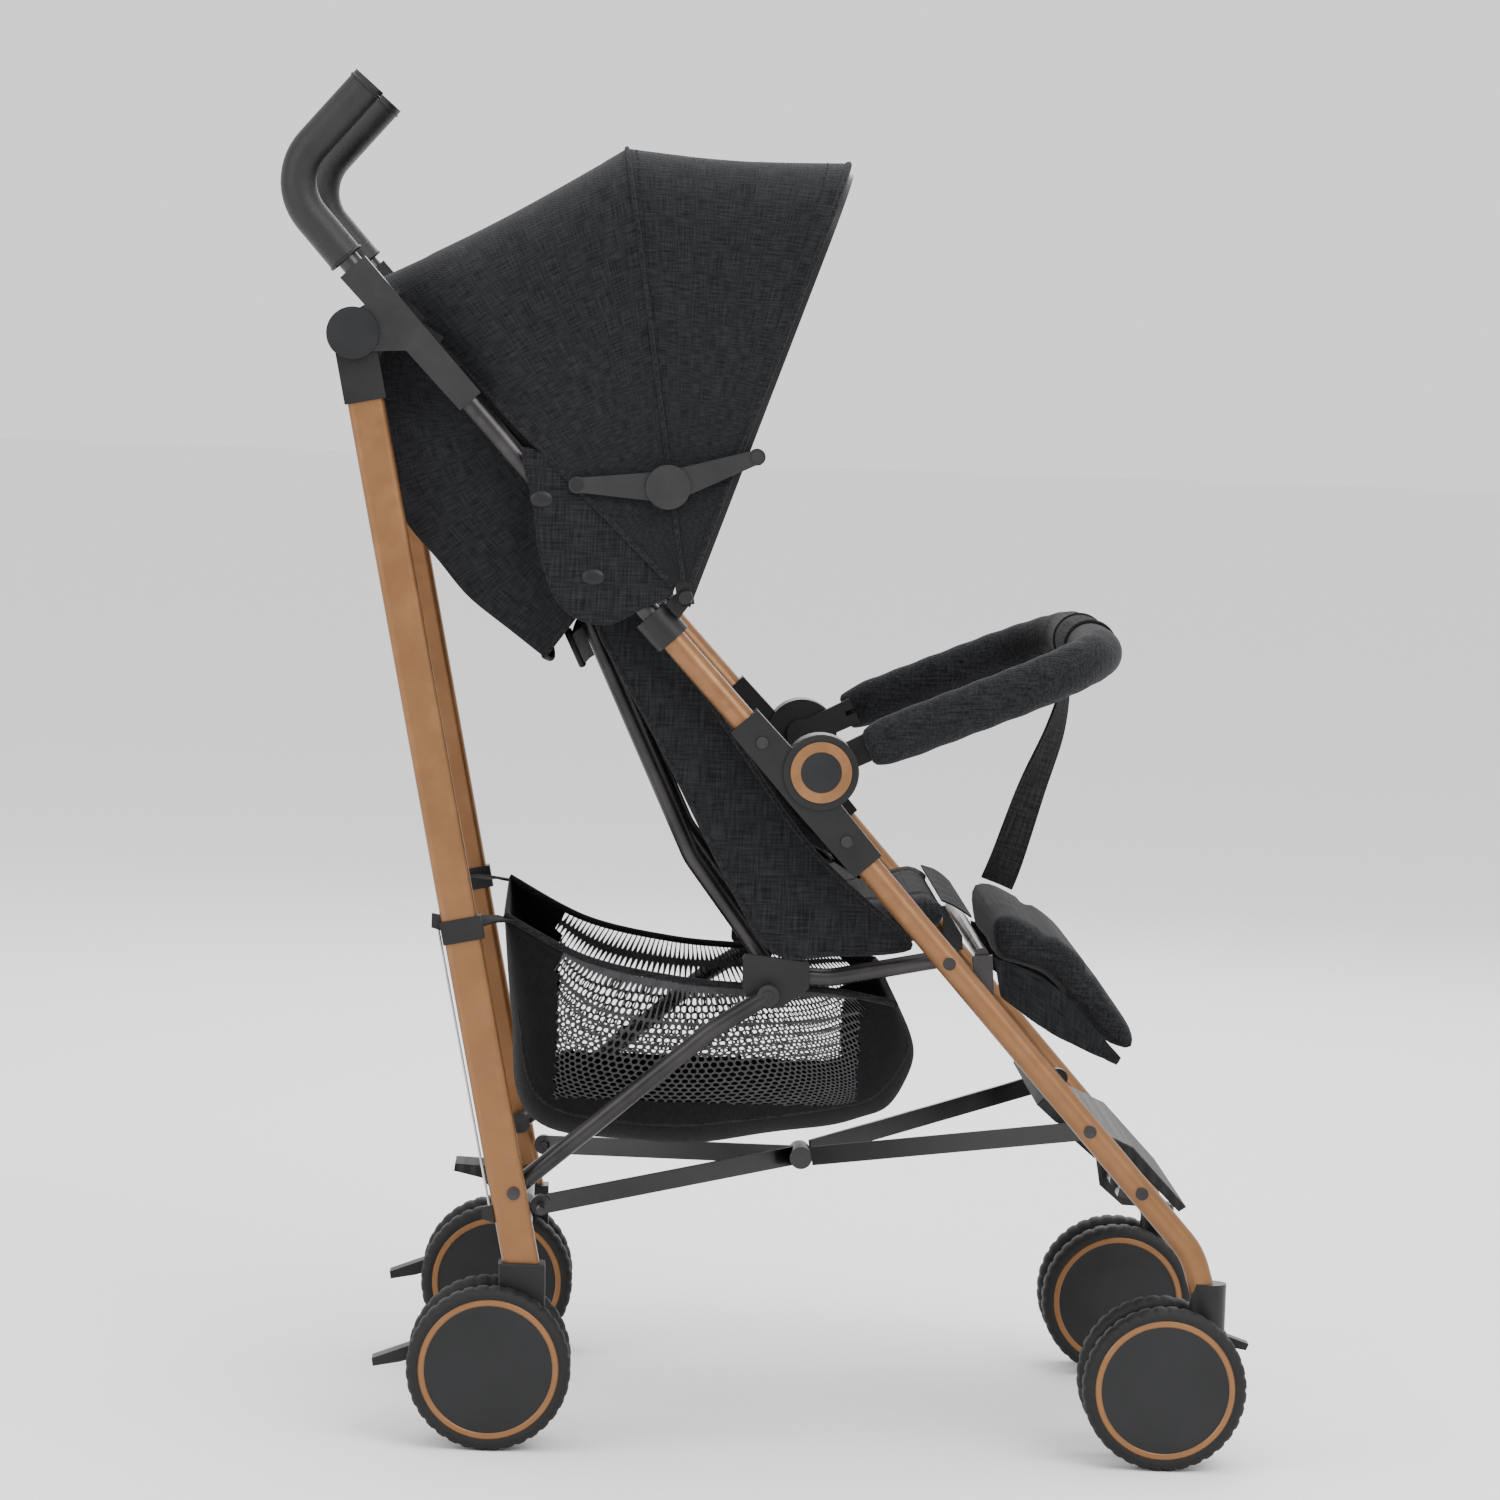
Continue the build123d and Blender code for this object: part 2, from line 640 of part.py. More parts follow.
with BuildPart() as brake_pedal:
    with BuildSketch(side_plane(half_track + 10)):
        with BuildLine():
            Polyline(
                (-216.0, 93.0),
                (-250.0, 78.0),
                (-284.0, 65.0),
                (-283.0, 59.0),
                (-262.0, 63.0),
                (-216.0, 79.0),
                close=True,
            )
        make_face()
        with Locations((-216.0, 86.0)):
            Circle(7.0)
            Circle(3.0 + running_gap, mode=Mode.SUBTRACT)
    extrude(amount=20)
save(brake_pedal.part, "brake_pedal_left")
with BuildPart() as brake_pedal_right:
    add(brake_pedal.part)
    mirror(about=Plane.XZ, mode=Mode.REPLACE)
save(brake_pedal_right.part, "brake_pedal_right")

with BuildPart() as fold_pedal:
    with BuildSketch(side_plane(22.0)):
        with BuildLine():
            Polyline(
                (-168.0, 160.0),
                (-197.0, 184.5),
                (-204.0, 189.0),
                (-228.0, 190.0),
                (-229.0, 184.0),
                (-206.0, 179.0),
                (-182.0, 150.0),
                close=True,
            )
        make_face()
        with Locations(cross_bar):
            Circle(12.0)
            Circle(8.0 + running_gap, mode=Mode.SUBTRACT)
    extrude(amount=44)
save(fold_pedal.part, "fold_pedal")

# ---- seat rails, struts and braces ----
rail_radius = inner_tube_radius
rail_back = (4.0, 368.0)
rail_mid = (60.0, 366.0)
rail_front = (158.0, 386.0)
with BuildPart() as seat_rails:
    rail_route = [at(point, rail_y) for point in (rail_back, rail_mid, rail_front)]
    add(tube(rail_route, rail_radius, 1.2, 60.0, pair=False))
    with Locations(Plane(origin=at(rail_pivot, rail_y - 6), z_dir=(0, 1, 0))):
        Cylinder(6.0, half_track - 10.2 - rail_y + 6, align=(Align.CENTER, Align.CENTER, Align.MIN))
    mirror(about=Plane.XZ)
save(seat_rails.part, "seat_rails")
bracket_outline = [(-8.0, 384.0), (44.0, 379.0), (44.0, 358.0), (22.0, 342.0), (2.0, 343.0), (-8.0, 358.0)]
save(plate(bracket_outline, rail_y + 7.2, strut_y - 7.4, soften=0.5, corner=3.0), "rail_brackets")
with BuildPart() as struts:
    strut_route = [at(point, strut_y) for point in (strut_pivot, (-30.0, 325.0), seat_corner)]
    add(tube(strut_route, rail_radius, 1.2, 90.0, pair=False))
    for strut_end in (strut_pivot, seat_corner):
        with Locations(Plane(origin=at(strut_end, strut_y), z_dir=(0, 1, 0))):
            Cylinder(8.5, 13.6)
    with Locations(Plane(origin=at(seat_corner, strut_y + 6.8), z_dir=(0, 1, 0))):
        Cylinder(4.0, 1.5, align=(Align.CENTER, Align.CENTER, Align.MIN))
    mirror(about=Plane.XZ)
save(struts.part, "struts")

brace_middle = (49.0, 203.0)
brace_front = (268.0, 252.0)
brace_eye_y = 166.0


def brace(start, start_y, end, end_y, eye, eye_y, block, block_low, block_high, hole):
    """A flat bar from one side to the middle, with an eye and a middle block, and its mirror image."""
    with BuildPart() as piece:
        with BuildLine() as brace_line:
            Line(at(start, start_y), at(end, end_y))
        with BuildSketch(Plane(origin=brace_line.line @ 0, x_dir=(0, 0, 1), z_dir=brace_line.line % 0)):
            Rectangle(15, 3)
        sweep(path=brace_line.line)
        with Locations(Plane(origin=at(eye, eye_y - 4), z_dir=(0, 1, 0))):
            Cylinder(8.0, 8, align=(Align.CENTER, Align.CENTER, Align.MIN))
        with Locations(Plane(origin=at(block, block_low), z_dir=(0, 1, 0))):
            Cylinder(9.0, block_high - block_low, align=(Align.CENTER, Align.CENTER, Align.MIN))
        if hole > 0:
            for centre in (eye, block):
                with Locations(Plane(origin=at(centre, 0), z_dir=(0, 1, 0))):
                    Cylinder(hole, 400, mode=Mode.SUBTRACT)
        mirror(about=Plane.XZ)
    return piece.part


rear_bar_end = (44.0, 202.5)
pin_hole = 3.0 + running_gap
rear_bar = (brace_rear, brace_eye_y, rear_bar_end, 2.0)
rear_eye = (brace_rear, brace_eye_y)
rear_brace = brace(*rear_bar, *rear_eye, brace_middle, 0.0, 12.0, pin_hole)
save(rear_brace, "rear_brace")
with BuildPart() as front_brace:
    add(brace((58.0, 205.0), 20.0, brace_front, 158.0, brace_front, 158.0, brace_middle, 12.3, 20.0, 0.0))
    with Locations(Plane(origin=at(brace_middle, 0), z_dir=(0, 1, 0))):
        Cylinder(3.0, 40)
save(front_brace.part, "front_brace")

# ---- backrest, seat and other soft pieces ----
back_low_end = (10.0, 376.0)
back_knee = (-50.0, 455.0)
back_top = (-172.0, 712.0)
with BuildPart() as back_tube:
    with BuildLine() as back_line:
        FilletPolyline(
            at(back_low_end, back_y),
            at(back_knee, back_y),
            at(back_top, back_y),
            at(back_top, -back_y),
            at(back_knee, -back_y),
            at(back_low_end, -back_y),
            radius=50.0,
        )
    with BuildSketch(Plane(origin=back_line.line @ 0, z_dir=back_line.line % 0)):
        Circle(inner_tube_radius)
        Circle(inner_tube_radius - 1.2, mode=Mode.SUBTRACT)
    sweep(path=back_line.line)
    with Locations(Plane(origin=at(back_pivot, back_y - 4), z_dir=(0, 1, 0))):
        Cylinder(8.5, 12.6, align=(Align.CENTER, Align.CENTER, Align.MIN))
    mirror(about=Plane.XZ)
save(back_tube.part, "back_tube")
back_pad_outline = [
    (40.0, 398.0),
    (-28.0, 470.0),
    (-146.0, 714.0),
    (-152.0, 728.0),
    (-132.0, 734.0),
    (-122.0, 722.0),
    (-6.0, 482.0),
    (58.0, 416.0),
]
save(plate(back_pad_outline, -150.0, 150.0, soften=2.0, pair=False), "back_pad")
seat_pad_outline = [
    (44.0, 392.0),
    (60.0, 384.0),
    (110.0, 390.0),
    (146.0, 404.0),
    (158.0, 420.0),
    (150.0, 431.0),
    (120.0, 422.0),
    (62.0, 414.0),
]
save(plate(seat_pad_outline, -158.0, 158.0, soften=2.0, pair=False), "seat_pad")
wing_outline = [
    (-44.0, 452.0),
    (14.0, 388.0),
    (118.0, 392.0),
    (26.0, 496.0),
    (-84.0, 622.0),
    (-92.0, 652.0),
    (-134.0, 652.0),
]
save(plate(wing_outline, rail_y + 8.5, rail_y + 11.5), "side_wings")
leg_rest_outline = [
    (185.0, 421.0),
    (252.0, 388.0),
    (306.0, 316.0),
    (293.0, 306.0),
    (238.0, 368.0),
    (186.0, 384.0),
]
leg_rest_board = plate(leg_rest_outline, -146.0, 146.0, soften=2.0, pair=False)
leg_rest_sleeve = cylinders([rod_point], 8.5, -140.0, 140.0, bore=5.5 + running_gap, pair=False)
save(join(leg_rest_board, leg_rest_sleeve), "leg_rest_pad")
curtain_outline = [
    (-297.0, 872.0),
    (-303.0, 822.0),
    (-284.0, 722.0),
    (-231.0, 656.0),
    (-170.0, 611.0),
    (-168.0, 614.0),
    (-228.0, 660.0),
    (-280.0, 724.0),
    (-299.0, 822.0),
    (-293.0, 872.0),
]
save(plate(curtain_outline, -176.0, 176.0, pair=False), "back_curtain")

basket_half = 158.0
basket_outline = [
    (-194.0, 404.0),
    (-168.0, 236.0),
    (-60.0, 222.0),
    (60.0, 240.0),
    (114.0, 256.0),
    (134.0, 300.0),
    (112.0, 346.0),
    (-20.0, 356.0),
]
basket_inside = [
    (-192.0, 420.0),
    (-164.0, 240.0),
    (-60.0, 226.0),
    (60.0, 244.0),
    (111.0, 259.0),
    (130.0, 300.0),
    (106.0, 364.0),
    (-20.0, 380.0),
]
with BuildPart() as basket:
    add(plate(basket_outline, -basket_half, basket_half, pair=False))
    add(plate(basket_inside, -basket_half + 4, basket_half - 4, pair=False), mode=Mode.SUBTRACT)
save(basket.part, "basket")

# ---- wheels and casters ----
core_radius = 50.0


def wheel(centre, y, side):
    """A tyre and a closed hub with a blind bore; side is +1 when the outer face points left."""
    outward = (0, side, 0)
    with BuildPart() as piece:
        with Locations(Plane(origin=(centre[0], y, centre[1]), z_dir=outward)):
            Cylinder(wheel_radius, wheel_width)
        fillet(piece.edges().filter_by(GeomType.CIRCLE), 7.0)
        with Locations(Plane(origin=(centre[0], y, centre[1]), z_dir=outward)):
            Cylinder(core_radius, wheel_width + 2, mode=Mode.SUBTRACT)
        with Locations(Plane(origin=(centre[0], y, centre[1]), z_dir=outward)):
            Cylinder(core_radius, wheel_width - 4)
        with Locations(Plane(origin=(centre[0], y, centre[1]), z_dir=outward).offset(-wheel_width / 2)):
            lowest = (Align.CENTER, Align.CENTER, Align.MIN)
            Cylinder(4.0 + running_gap, wheel_width - 3.9, align=lowest, mode=Mode.SUBTRACT)
    return piece.part


for side, side_name in ((1, "left"), (-1, "right")):
    for centre, end_name in ((rear_axle, "rear"), (front_axle, "front")):
        for facing, place_name in ((1, "outer"), (-1, "inner")):
            wheel_y = side * (half_track + facing * wheel_spread)
            name = "wheel_" + end_name + "_" + side_name + "_" + place_name
            save(wheel(centre, wheel_y, side * facing), name)

fork_outline = [
    (374.0, 103.5),
    (344.0, 103.5),
    (313.0, 78.0),
    (313.0, 52.0),
    (338.0, 50.0),
    (374.0, 88.0),
]
lock_point = (368.0, 96.0)
with BuildPart() as fork:
    add(plate(fork_outline, half_track - 13.5, half_track + 13.5, soften=1.0, pair=False))
    with Locations((leg_foot[0], half_track, 103.5)):
        Cylinder(4.0, 17, align=(Align.CENTER, Align.CENTER, Align.MIN))
    with Locations(Plane(origin=at(front_axle, half_track), z_dir=(0, 1, 0))):
        Cylinder(4.0, 2 * axle_reach)
    with BuildSketch(side_plane(half_track + 8.3)):
        with BuildLine():
            Polyline((362.0, 90.0), (362.0, 104.0), (380.0, 104.0), (380.0, 84.0), close=True)
        make_face()
    extrude(amount=16.6, mode=Mode.SUBTRACT)
    with Locations(Plane(origin=at(lock_point, half_track - 9), z_dir=(0, 1, 0))):
        Cylinder(2.0, 18, align=(Align.CENTER, Align.CENTER, Align.MIN))
save(fork.part, "caster_fork_left")
with BuildPart() as fork_right:
    add(fork.part)
    mirror(about=Plane.XZ, mode=Mode.REPLACE)
save(fork_right.part, "caster_fork_right")
with BuildPart() as swivel_lock:
    with BuildSketch(side_plane(half_track + 8.0)):
        with BuildLine():
            Polyline(
                (366.0, 100.0),
                (378.0, 102.0),
                (393.0, 97.0),
                (391.0, 92.0),
                (376.0, 94.5),
                (366.0, 92.5),
                close=True,
            )
        make_face()
        with Locations(lock_point):
            Circle(4.2)
            Circle(2.0 + running_gap, mode=Mode.SUBTRACT)
    extrude(amount=16)
save(swivel_lock.part, "swivel_lock_left")
with BuildPart() as swivel_lock_right:
    add(swivel_lock.part)
    mirror(about=Plane.XZ, mode=Mode.REPLACE)
save(swivel_lock_right.part, "swivel_lock_right")
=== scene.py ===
"""Umbrella stroller: fabrics, grips, tyres and finishes built around its frame.

Every piece is in metres, in the frame's own axes: +X forward, +Y to the child's left, +Z up.
"""

import math

import bpy
from mathutils import Matrix, Vector


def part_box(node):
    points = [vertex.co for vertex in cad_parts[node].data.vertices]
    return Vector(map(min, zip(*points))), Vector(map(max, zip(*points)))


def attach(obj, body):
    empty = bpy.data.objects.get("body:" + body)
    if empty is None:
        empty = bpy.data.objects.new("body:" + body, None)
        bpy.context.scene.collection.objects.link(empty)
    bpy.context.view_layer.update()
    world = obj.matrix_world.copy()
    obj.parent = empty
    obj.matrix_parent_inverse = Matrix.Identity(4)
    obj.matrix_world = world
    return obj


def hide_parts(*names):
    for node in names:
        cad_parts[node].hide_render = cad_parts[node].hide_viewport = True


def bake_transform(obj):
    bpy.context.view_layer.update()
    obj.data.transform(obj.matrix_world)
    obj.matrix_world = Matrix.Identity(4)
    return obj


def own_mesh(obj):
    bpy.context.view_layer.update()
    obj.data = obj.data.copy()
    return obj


bl_info = {
    "name": "Umbrella stroller",
    "version": (1, 0, 0),
    "blender": (4, 5, 0),
    "location": "View3D > Sidebar > Stroller",
    "description": "Builds a stroller's soft pieces, wheels and finishes around its frame",
    "category": "Object",
}

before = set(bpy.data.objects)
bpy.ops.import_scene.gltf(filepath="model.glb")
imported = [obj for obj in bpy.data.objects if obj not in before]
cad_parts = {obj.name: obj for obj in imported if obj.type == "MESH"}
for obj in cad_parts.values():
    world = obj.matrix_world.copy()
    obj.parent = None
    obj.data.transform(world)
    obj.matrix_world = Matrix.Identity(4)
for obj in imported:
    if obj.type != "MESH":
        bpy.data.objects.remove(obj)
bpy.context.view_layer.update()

CANOPY_PIVOT = Vector((-0.0635, 0.0, 0.6599))
# lengths in metres, angles in radians
HALF_TRACK = 0.205
WELD_SHEET = 0.00001
SQRT3_HALF = 0.8660254
# pads: voxel size, inner pressure and frames of the cloth solver
PAD_VOXEL = 0.007
PAD_PRESSURE = 4.0
PAD_FRAMES = 20
# the backrest's own directions: out of its face, and up along it
RECLINE_FACE = (0.896, 0, 0.444)
RECLINE_RUN = (-0.444, 0, 0.896)
# canopy: hem above the pivot, sink and hollow between bows, fine ripple, tuck at the rear
HEM_START = 0.013
ROOF_SINK = 0.0035
HOLLOW_DEPTH = 0.0045
RIPPLE_DEPTH = 0.0009
TUCK_DEPTH = 0.031
TUCK_ANGLE = 0.17
TUCK_HEIGHT = 0.13
# side planes, the bumper's front (x, z) and half the length of its wrap
SLEEVE_Y = 0.2207
WING_Y = 0.1785
BUMPER_FRONT = (0.262, 0.624)
WRAP_HALF = 0.052
# where the basket's sides are net
NET_FROM_Y = 0.120
NET_FROM_Z = 0.262
NET_X = (-0.150, 0.085)
GRIP_RING = 0.0134
# steps round a tyre, and steps from one notch to the next
TYRE_STEPS = 216
NOTCH_PITCH = 6
SIDES = (("left", 1.0), ("right", -1.0))


# ---- making and finishing pieces ----
def clear_selection():
    """Leave edit mode and deselect everything."""
    if bpy.context.object is not None and bpy.context.object.mode != "OBJECT":
        bpy.ops.object.mode_set(mode="OBJECT")
    bpy.ops.object.select_all(action="DESELECT")


def pick(piece):
    """Make one piece the only selected and the active one."""
    clear_selection()
    piece.select_set(True)
    bpy.context.view_layer.objects.active = piece


def apply_modifiers(piece):
    """Apply all of a piece's modifiers in order."""
    pick(piece)
    for modifier in list(piece.modifiers):
        bpy.ops.object.modifier_apply(modifier=modifier.name)


def place_in_mesh(piece):
    """Move an object's place, turn and size into its mesh."""
    pick(piece)
    bpy.ops.object.transform_apply(location=True, rotation=True, scale=True)


def weld(piece, distance=0.0002, fill=False):
    """Merge doubles, close open ends where asked, and face every face outwards."""
    pick(piece)
    bpy.ops.object.mode_set(mode="EDIT")
    bpy.ops.mesh.select_all(action="SELECT")
    bpy.ops.mesh.remove_doubles(threshold=distance)
    if fill:
        bpy.ops.mesh.select_all(action="DESELECT")
        bpy.ops.mesh.select_mode(type="EDGE")
        bpy.ops.mesh.select_non_manifold(extend=False)
        bpy.ops.mesh.edge_face_add()
    bpy.ops.mesh.select_all(action="SELECT")
    bpy.ops.mesh.normals_make_consistent(inside=False)
    bpy.ops.object.mode_set(mode="OBJECT")


def finish_piece(piece, name, body, finish, angle=40.0):
    """Name a piece, smooth it, give it its material and let it ride on a body."""
    pick(piece)
    piece.name = name
    piece.data.name = name
    bpy.ops.object.shade_smooth_by_angle(angle=math.radians(angle))
    piece.data.materials.clear()
    piece.data.materials.append(FINISHES[finish])
    if body is not None:
        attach(piece, body)
    return piece


def cloth_grid(columns, rows, place, size=(1.0, 1.0)):
    """A grid laid out by place(across, along), with its UV map in metres."""
    clear_selection()
    bpy.ops.mesh.primitive_grid_add(x_subdivisions=columns, y_subdivisions=rows, size=1.0)
    piece = bpy.context.object
    for vertex in piece.data.vertices:
        vertex.co = place(vertex.co.x + 0.5, vertex.co.y + 0.5)
    for corner in piece.data.uv_layers.active.data:
        corner.uv = (corner.uv.x * size[0], corner.uv.y * size[1])
    return piece


def thicken(piece, thickness):
    """Give a sheet its wall, half to each side."""
    wall = piece.modifiers.new("wall", "SOLIDIFY")
    wall.thickness = thickness
    wall.offset = 0.0
    apply_modifiers(piece)
    weld(piece, WELD_SHEET)


def round_edges(piece, width, segments, sharp_only=False):
    """Round a piece's edges, or only its sharp ones."""
    rounding = piece.modifiers.new("round", "BEVEL")
    rounding.width = width
    rounding.segments = segments
    if sharp_only:
        rounding.limit_method = "ANGLE"
    apply_modifiers(piece)


def filled_outline(outline, y):
    """A flat face cut to a side-view outline of (x, z) points, left in edit mode."""
    clear_selection()
    bpy.ops.mesh.primitive_circle_add(vertices=len(outline), radius=1.0, fill_type="NGON")
    piece = bpy.context.object
    for vertex, (x, z) in zip(piece.data.vertices, outline):
        vertex.co = (x, y, z)
    pick(piece)
    bpy.ops.object.mode_set(mode="EDIT")
    bpy.ops.mesh.select_all(action="SELECT")
    return piece


def vectors(*points):
    """Vectors from plain points."""
    return [Vector(point) for point in points]


def sided(side, *points):
    """Vectors from points given for the left, or their mirror images for the right."""
    return [Vector((x, side * y, z)) for x, y, z in points]


def smooth_between(before, here, there, after, part):
    """A point between here and there on the smooth line through four points."""
    return 0.5 * (
        2 * here
        + (there - before) * part
        + (2 * before - 5 * here + 4 * there - after) * part**2
        + (3 * here - before - 3 * there + after) * part**3
    )


def route_point(route, share):
    """A point part of the way along a smooth line through the given points."""
    last = len(route) - 1
    place = min(max(share, 0.0), 1.0) * last
    start = min(int(place), last - 1)
    part = place - start
    before, after = route[max(start - 1, 0)], route[min(start + 2, last)]
    return smooth_between(before, route[start], route[start + 1], after, part)


def skin_along(route, radius, around=28, along=64, across=Vector((0, 1, 0)), size=(0.12, 1.0)):
    """A closed sleeve along a smooth route; radius(share, angle) gives its wall."""

    def place(u, v):
        centre = route_point(route, v)
        ahead = route_point(route, min(v + 0.01, 1.0)) - route_point(route, max(v - 0.01, 0.0))
        ahead.normalize()
        side = (across - ahead * across.dot(ahead)).normalized()
        up = ahead.cross(side)
        angle = 2 * math.pi * u
        return centre + (side * math.cos(angle) + up * math.sin(angle)) * radius(v, angle)

    piece = cloth_grid(around, along, place, size)
    weld(piece, fill=True)
    return piece


def line_tube(points, radius, closed=False, sides=4):
    """A thin round trim, such as a binding or a stitched cord, along given points."""
    clear_selection()
    bpy.ops.curve.primitive_nurbs_path_add()
    curve = bpy.context.object
    data = curve.data
    data.splines.clear()
    spline = data.splines.new("POLY")
    spline.points.add(len(points) - 1)
    for point, place in zip(spline.points, points):
        point.co = (place[0], place[1], place[2], 1.0)
    spline.use_cyclic_u = closed
    data.dimensions = "3D"
    data.bevel_depth = radius
    data.bevel_resolution = sides
    data.use_fill_caps = True
    pick(curve)
    bpy.ops.object.convert(target="MESH")
    piece = bpy.context.object
    weld(piece, 0.00002)
    return piece


def bind(name, body, points, radius, closed=False):
    """A sewn binding along given points, finished."""
    piece = line_tube(points, radius, closed=closed)
    return finish_piece(piece, name, body, "Sewn binding")


def join_pieces(pieces):
    """Join several meshes into the first one."""
    clear_selection()
    for piece in pieces:
        piece.select_set(True)
    bpy.context.view_layer.objects.active = pieces[0]
    bpy.ops.object.join()
    return bpy.context.object


def turned_ring(outline, centre, steps=96, side=1.0):
    """A closed outline of (radius, along) points turned about an axle that lies across."""
    clear_selection()
    bpy.ops.mesh.primitive_circle_add(vertices=len(outline), radius=1.0)
    piece = bpy.context.object
    for vertex, (radius, along) in zip(piece.data.vertices, outline):
        vertex.co = (radius, 0.0, along)
    turn = piece.modifiers.new("turn", "SCREW")
    turn.steps = steps
    turn.render_steps = steps
    turn.use_merge_vertices = True
    turn.merge_threshold = 0.00005
    apply_modifiers(piece)
    piece.data.transform(Matrix.Rotation(math.radians(-90.0 * side), 4, "X"))
    piece.data.transform(Matrix.Translation(centre))
    weld(piece, 0.00003)
    return piece


def puff(piece, cap):
    """Swell a pad with the cloth solver, moving no point further than cap."""
    remesh = piece.modifiers.new("remesh", "REMESH")
    remesh.mode = "VOXEL"
    remesh.voxel_size = PAD_VOXEL
    apply_modifiers(piece)
    before = [vertex.co.copy() for vertex in piece.data.vertices]
    cloth = piece.modifiers.new("cloth", "CLOTH")
    cloth.settings.use_pressure = True
    cloth.settings.uniform_pressure_force = PAD_PRESSURE
    cloth.settings.effector_weights.gravity = 0.0
    cloth.settings.tension_stiffness = 12
    cloth.settings.compression_stiffness = 12
    cloth.settings.bending_stiffness = 0.6
    scene = bpy.context.scene
    for number in range(1, PAD_FRAMES + 1):
        scene.frame_set(number)
    apply_modifiers(piece)
    scene.frame_set(1)
    for vertex, start in zip(piece.data.vertices, before):
        move = vertex.co - start
        if move.length > cap:
            vertex.co = start + move * (cap / move.length)
    smooth = piece.modifiers.new("even", "SMOOTH")
    smooth.factor = 0.5
    smooth.iterations = 4
    apply_modifiers(piece)


# ---- shared pattern groups ----
class Wiring:
    """Adds and links nodes in one tree with short calls."""

    def __init__(self, tree):
        self.tree = tree

    def node(self, kind, **values):
        """Add a node with some of its settings."""
        made = self.tree.nodes.new(kind)
        for key, value in values.items():
            setattr(made, key, value)
        return made

    def link(self, source, target):
        """Link two sockets."""
        self.tree.links.new(source, target)

    def maths(self, operation, first, second=None):
        """Work out a value from one or two numbers or sockets."""
        made = self.node("ShaderNodeMath", operation=operation)
        for socket, value in zip(made.inputs, (first, second)):
            if value is None:
                continue
            if isinstance(value, (int, float)):
                socket.default_value = value
            else:
                self.link(value, socket)
        return made.outputs[0]

    def plus(self, first, second):
        """Add two values."""
        return self.maths("ADD", first, second)

    def times(self, first, second):
        """Multiply two values."""
        return self.maths("MULTIPLY", first, second)

    def scaled(self, vector, factors):
        """Stretch a vector along its axes."""
        made = self.node("ShaderNodeVectorMath", operation="MULTIPLY")
        self.link(vector, made.inputs[0])
        made.inputs[1].default_value = factors
        return made.outputs[0]

    def noise(self, vector, scale, detail=3.0, rough=0.55):
        """A cloud of the given scale."""
        made = self.node("ShaderNodeTexNoise")
        self.link(vector, made.inputs["Vector"])
        if isinstance(scale, (int, float)):
            made.inputs["Scale"].default_value = scale
        else:
            self.link(scale, made.inputs["Scale"])
        set_inputs(made, {"Detail": detail, "Roughness": rough})
        return made.outputs["Fac"]

    def stretch(self, value, low, high):
        """Spread the values between low and high over 0 to 1."""
        made = self.node("ShaderNodeMapRange")
        self.link(value, made.inputs["Value"])
        set_inputs(made, {"From Min": low, "From Max": high})
        return made.outputs["Result"]


def set_inputs(node, values):
    """Set several of a node's inputs by name."""
    for name, value in values.items():
        node.inputs[name].default_value = value


def new_group(name, setting, value, *outputs):
    """An empty shader node group that takes a vector and one setting."""
    tree = bpy.data.node_groups.new(name, "ShaderNodeTree")
    tree.interface.new_socket("Vector", in_out="INPUT", socket_type="NodeSocketVector")
    socket = tree.interface.new_socket(setting, in_out="INPUT", socket_type="NodeSocketFloat")
    socket.default_value = value
    for label in outputs:
        tree.interface.new_socket(label, in_out="OUTPUT", socket_type="NodeSocketFloat")
    wiring = Wiring(tree)
    given, result = wiring.node("NodeGroupInput"), wiring.node("NodeGroupOutput")
    vector = given.outputs["Vector"]
    return tree, wiring, vector, given.outputs[setting], result.inputs


def linen_group():
    """Plain weave with slubs: a fleck mask for colour and a height for bump."""
    sockets = ("Threads", 1400.0, "Fleck", "Height")
    tree, wiring, vector, threads, result = new_group("Linen weave", *sockets)
    warp = wiring.noise(wiring.scaled(vector, (800.0, 45.0, 260.0)), 1.0, 2.0)
    weft = wiring.noise(wiring.scaled(vector, (45.0, 800.0, 760.0)), 1.0, 2.0)
    cloud = wiring.noise(vector, 45.0, 3.0)
    flecks = wiring.plus(wiring.times(warp, 0.5), wiring.times(weft, 0.5))
    flecks = wiring.plus(flecks, wiring.times(wiring.maths("SUBTRACT", cloud, 0.5), 0.08))
    wiring.link(wiring.stretch(flecks, 0.38, 0.62), result["Fleck"])
    split = wiring.node("ShaderNodeSeparateXYZ")
    wiring.link(vector, split.inputs[0])
    waves = [
        wiring.maths("SINE", wiring.times(split.outputs[axis], threads)) for axis in ("X", "Y", "Z")
    ]
    crossing = wiring.times(wiring.plus(waves[0], waves[2]), wiring.plus(waves[1], 0.4))
    height = wiring.plus(wiring.times(crossing, 0.25), flecks)
    wiring.link(height, result["Height"])
    return tree


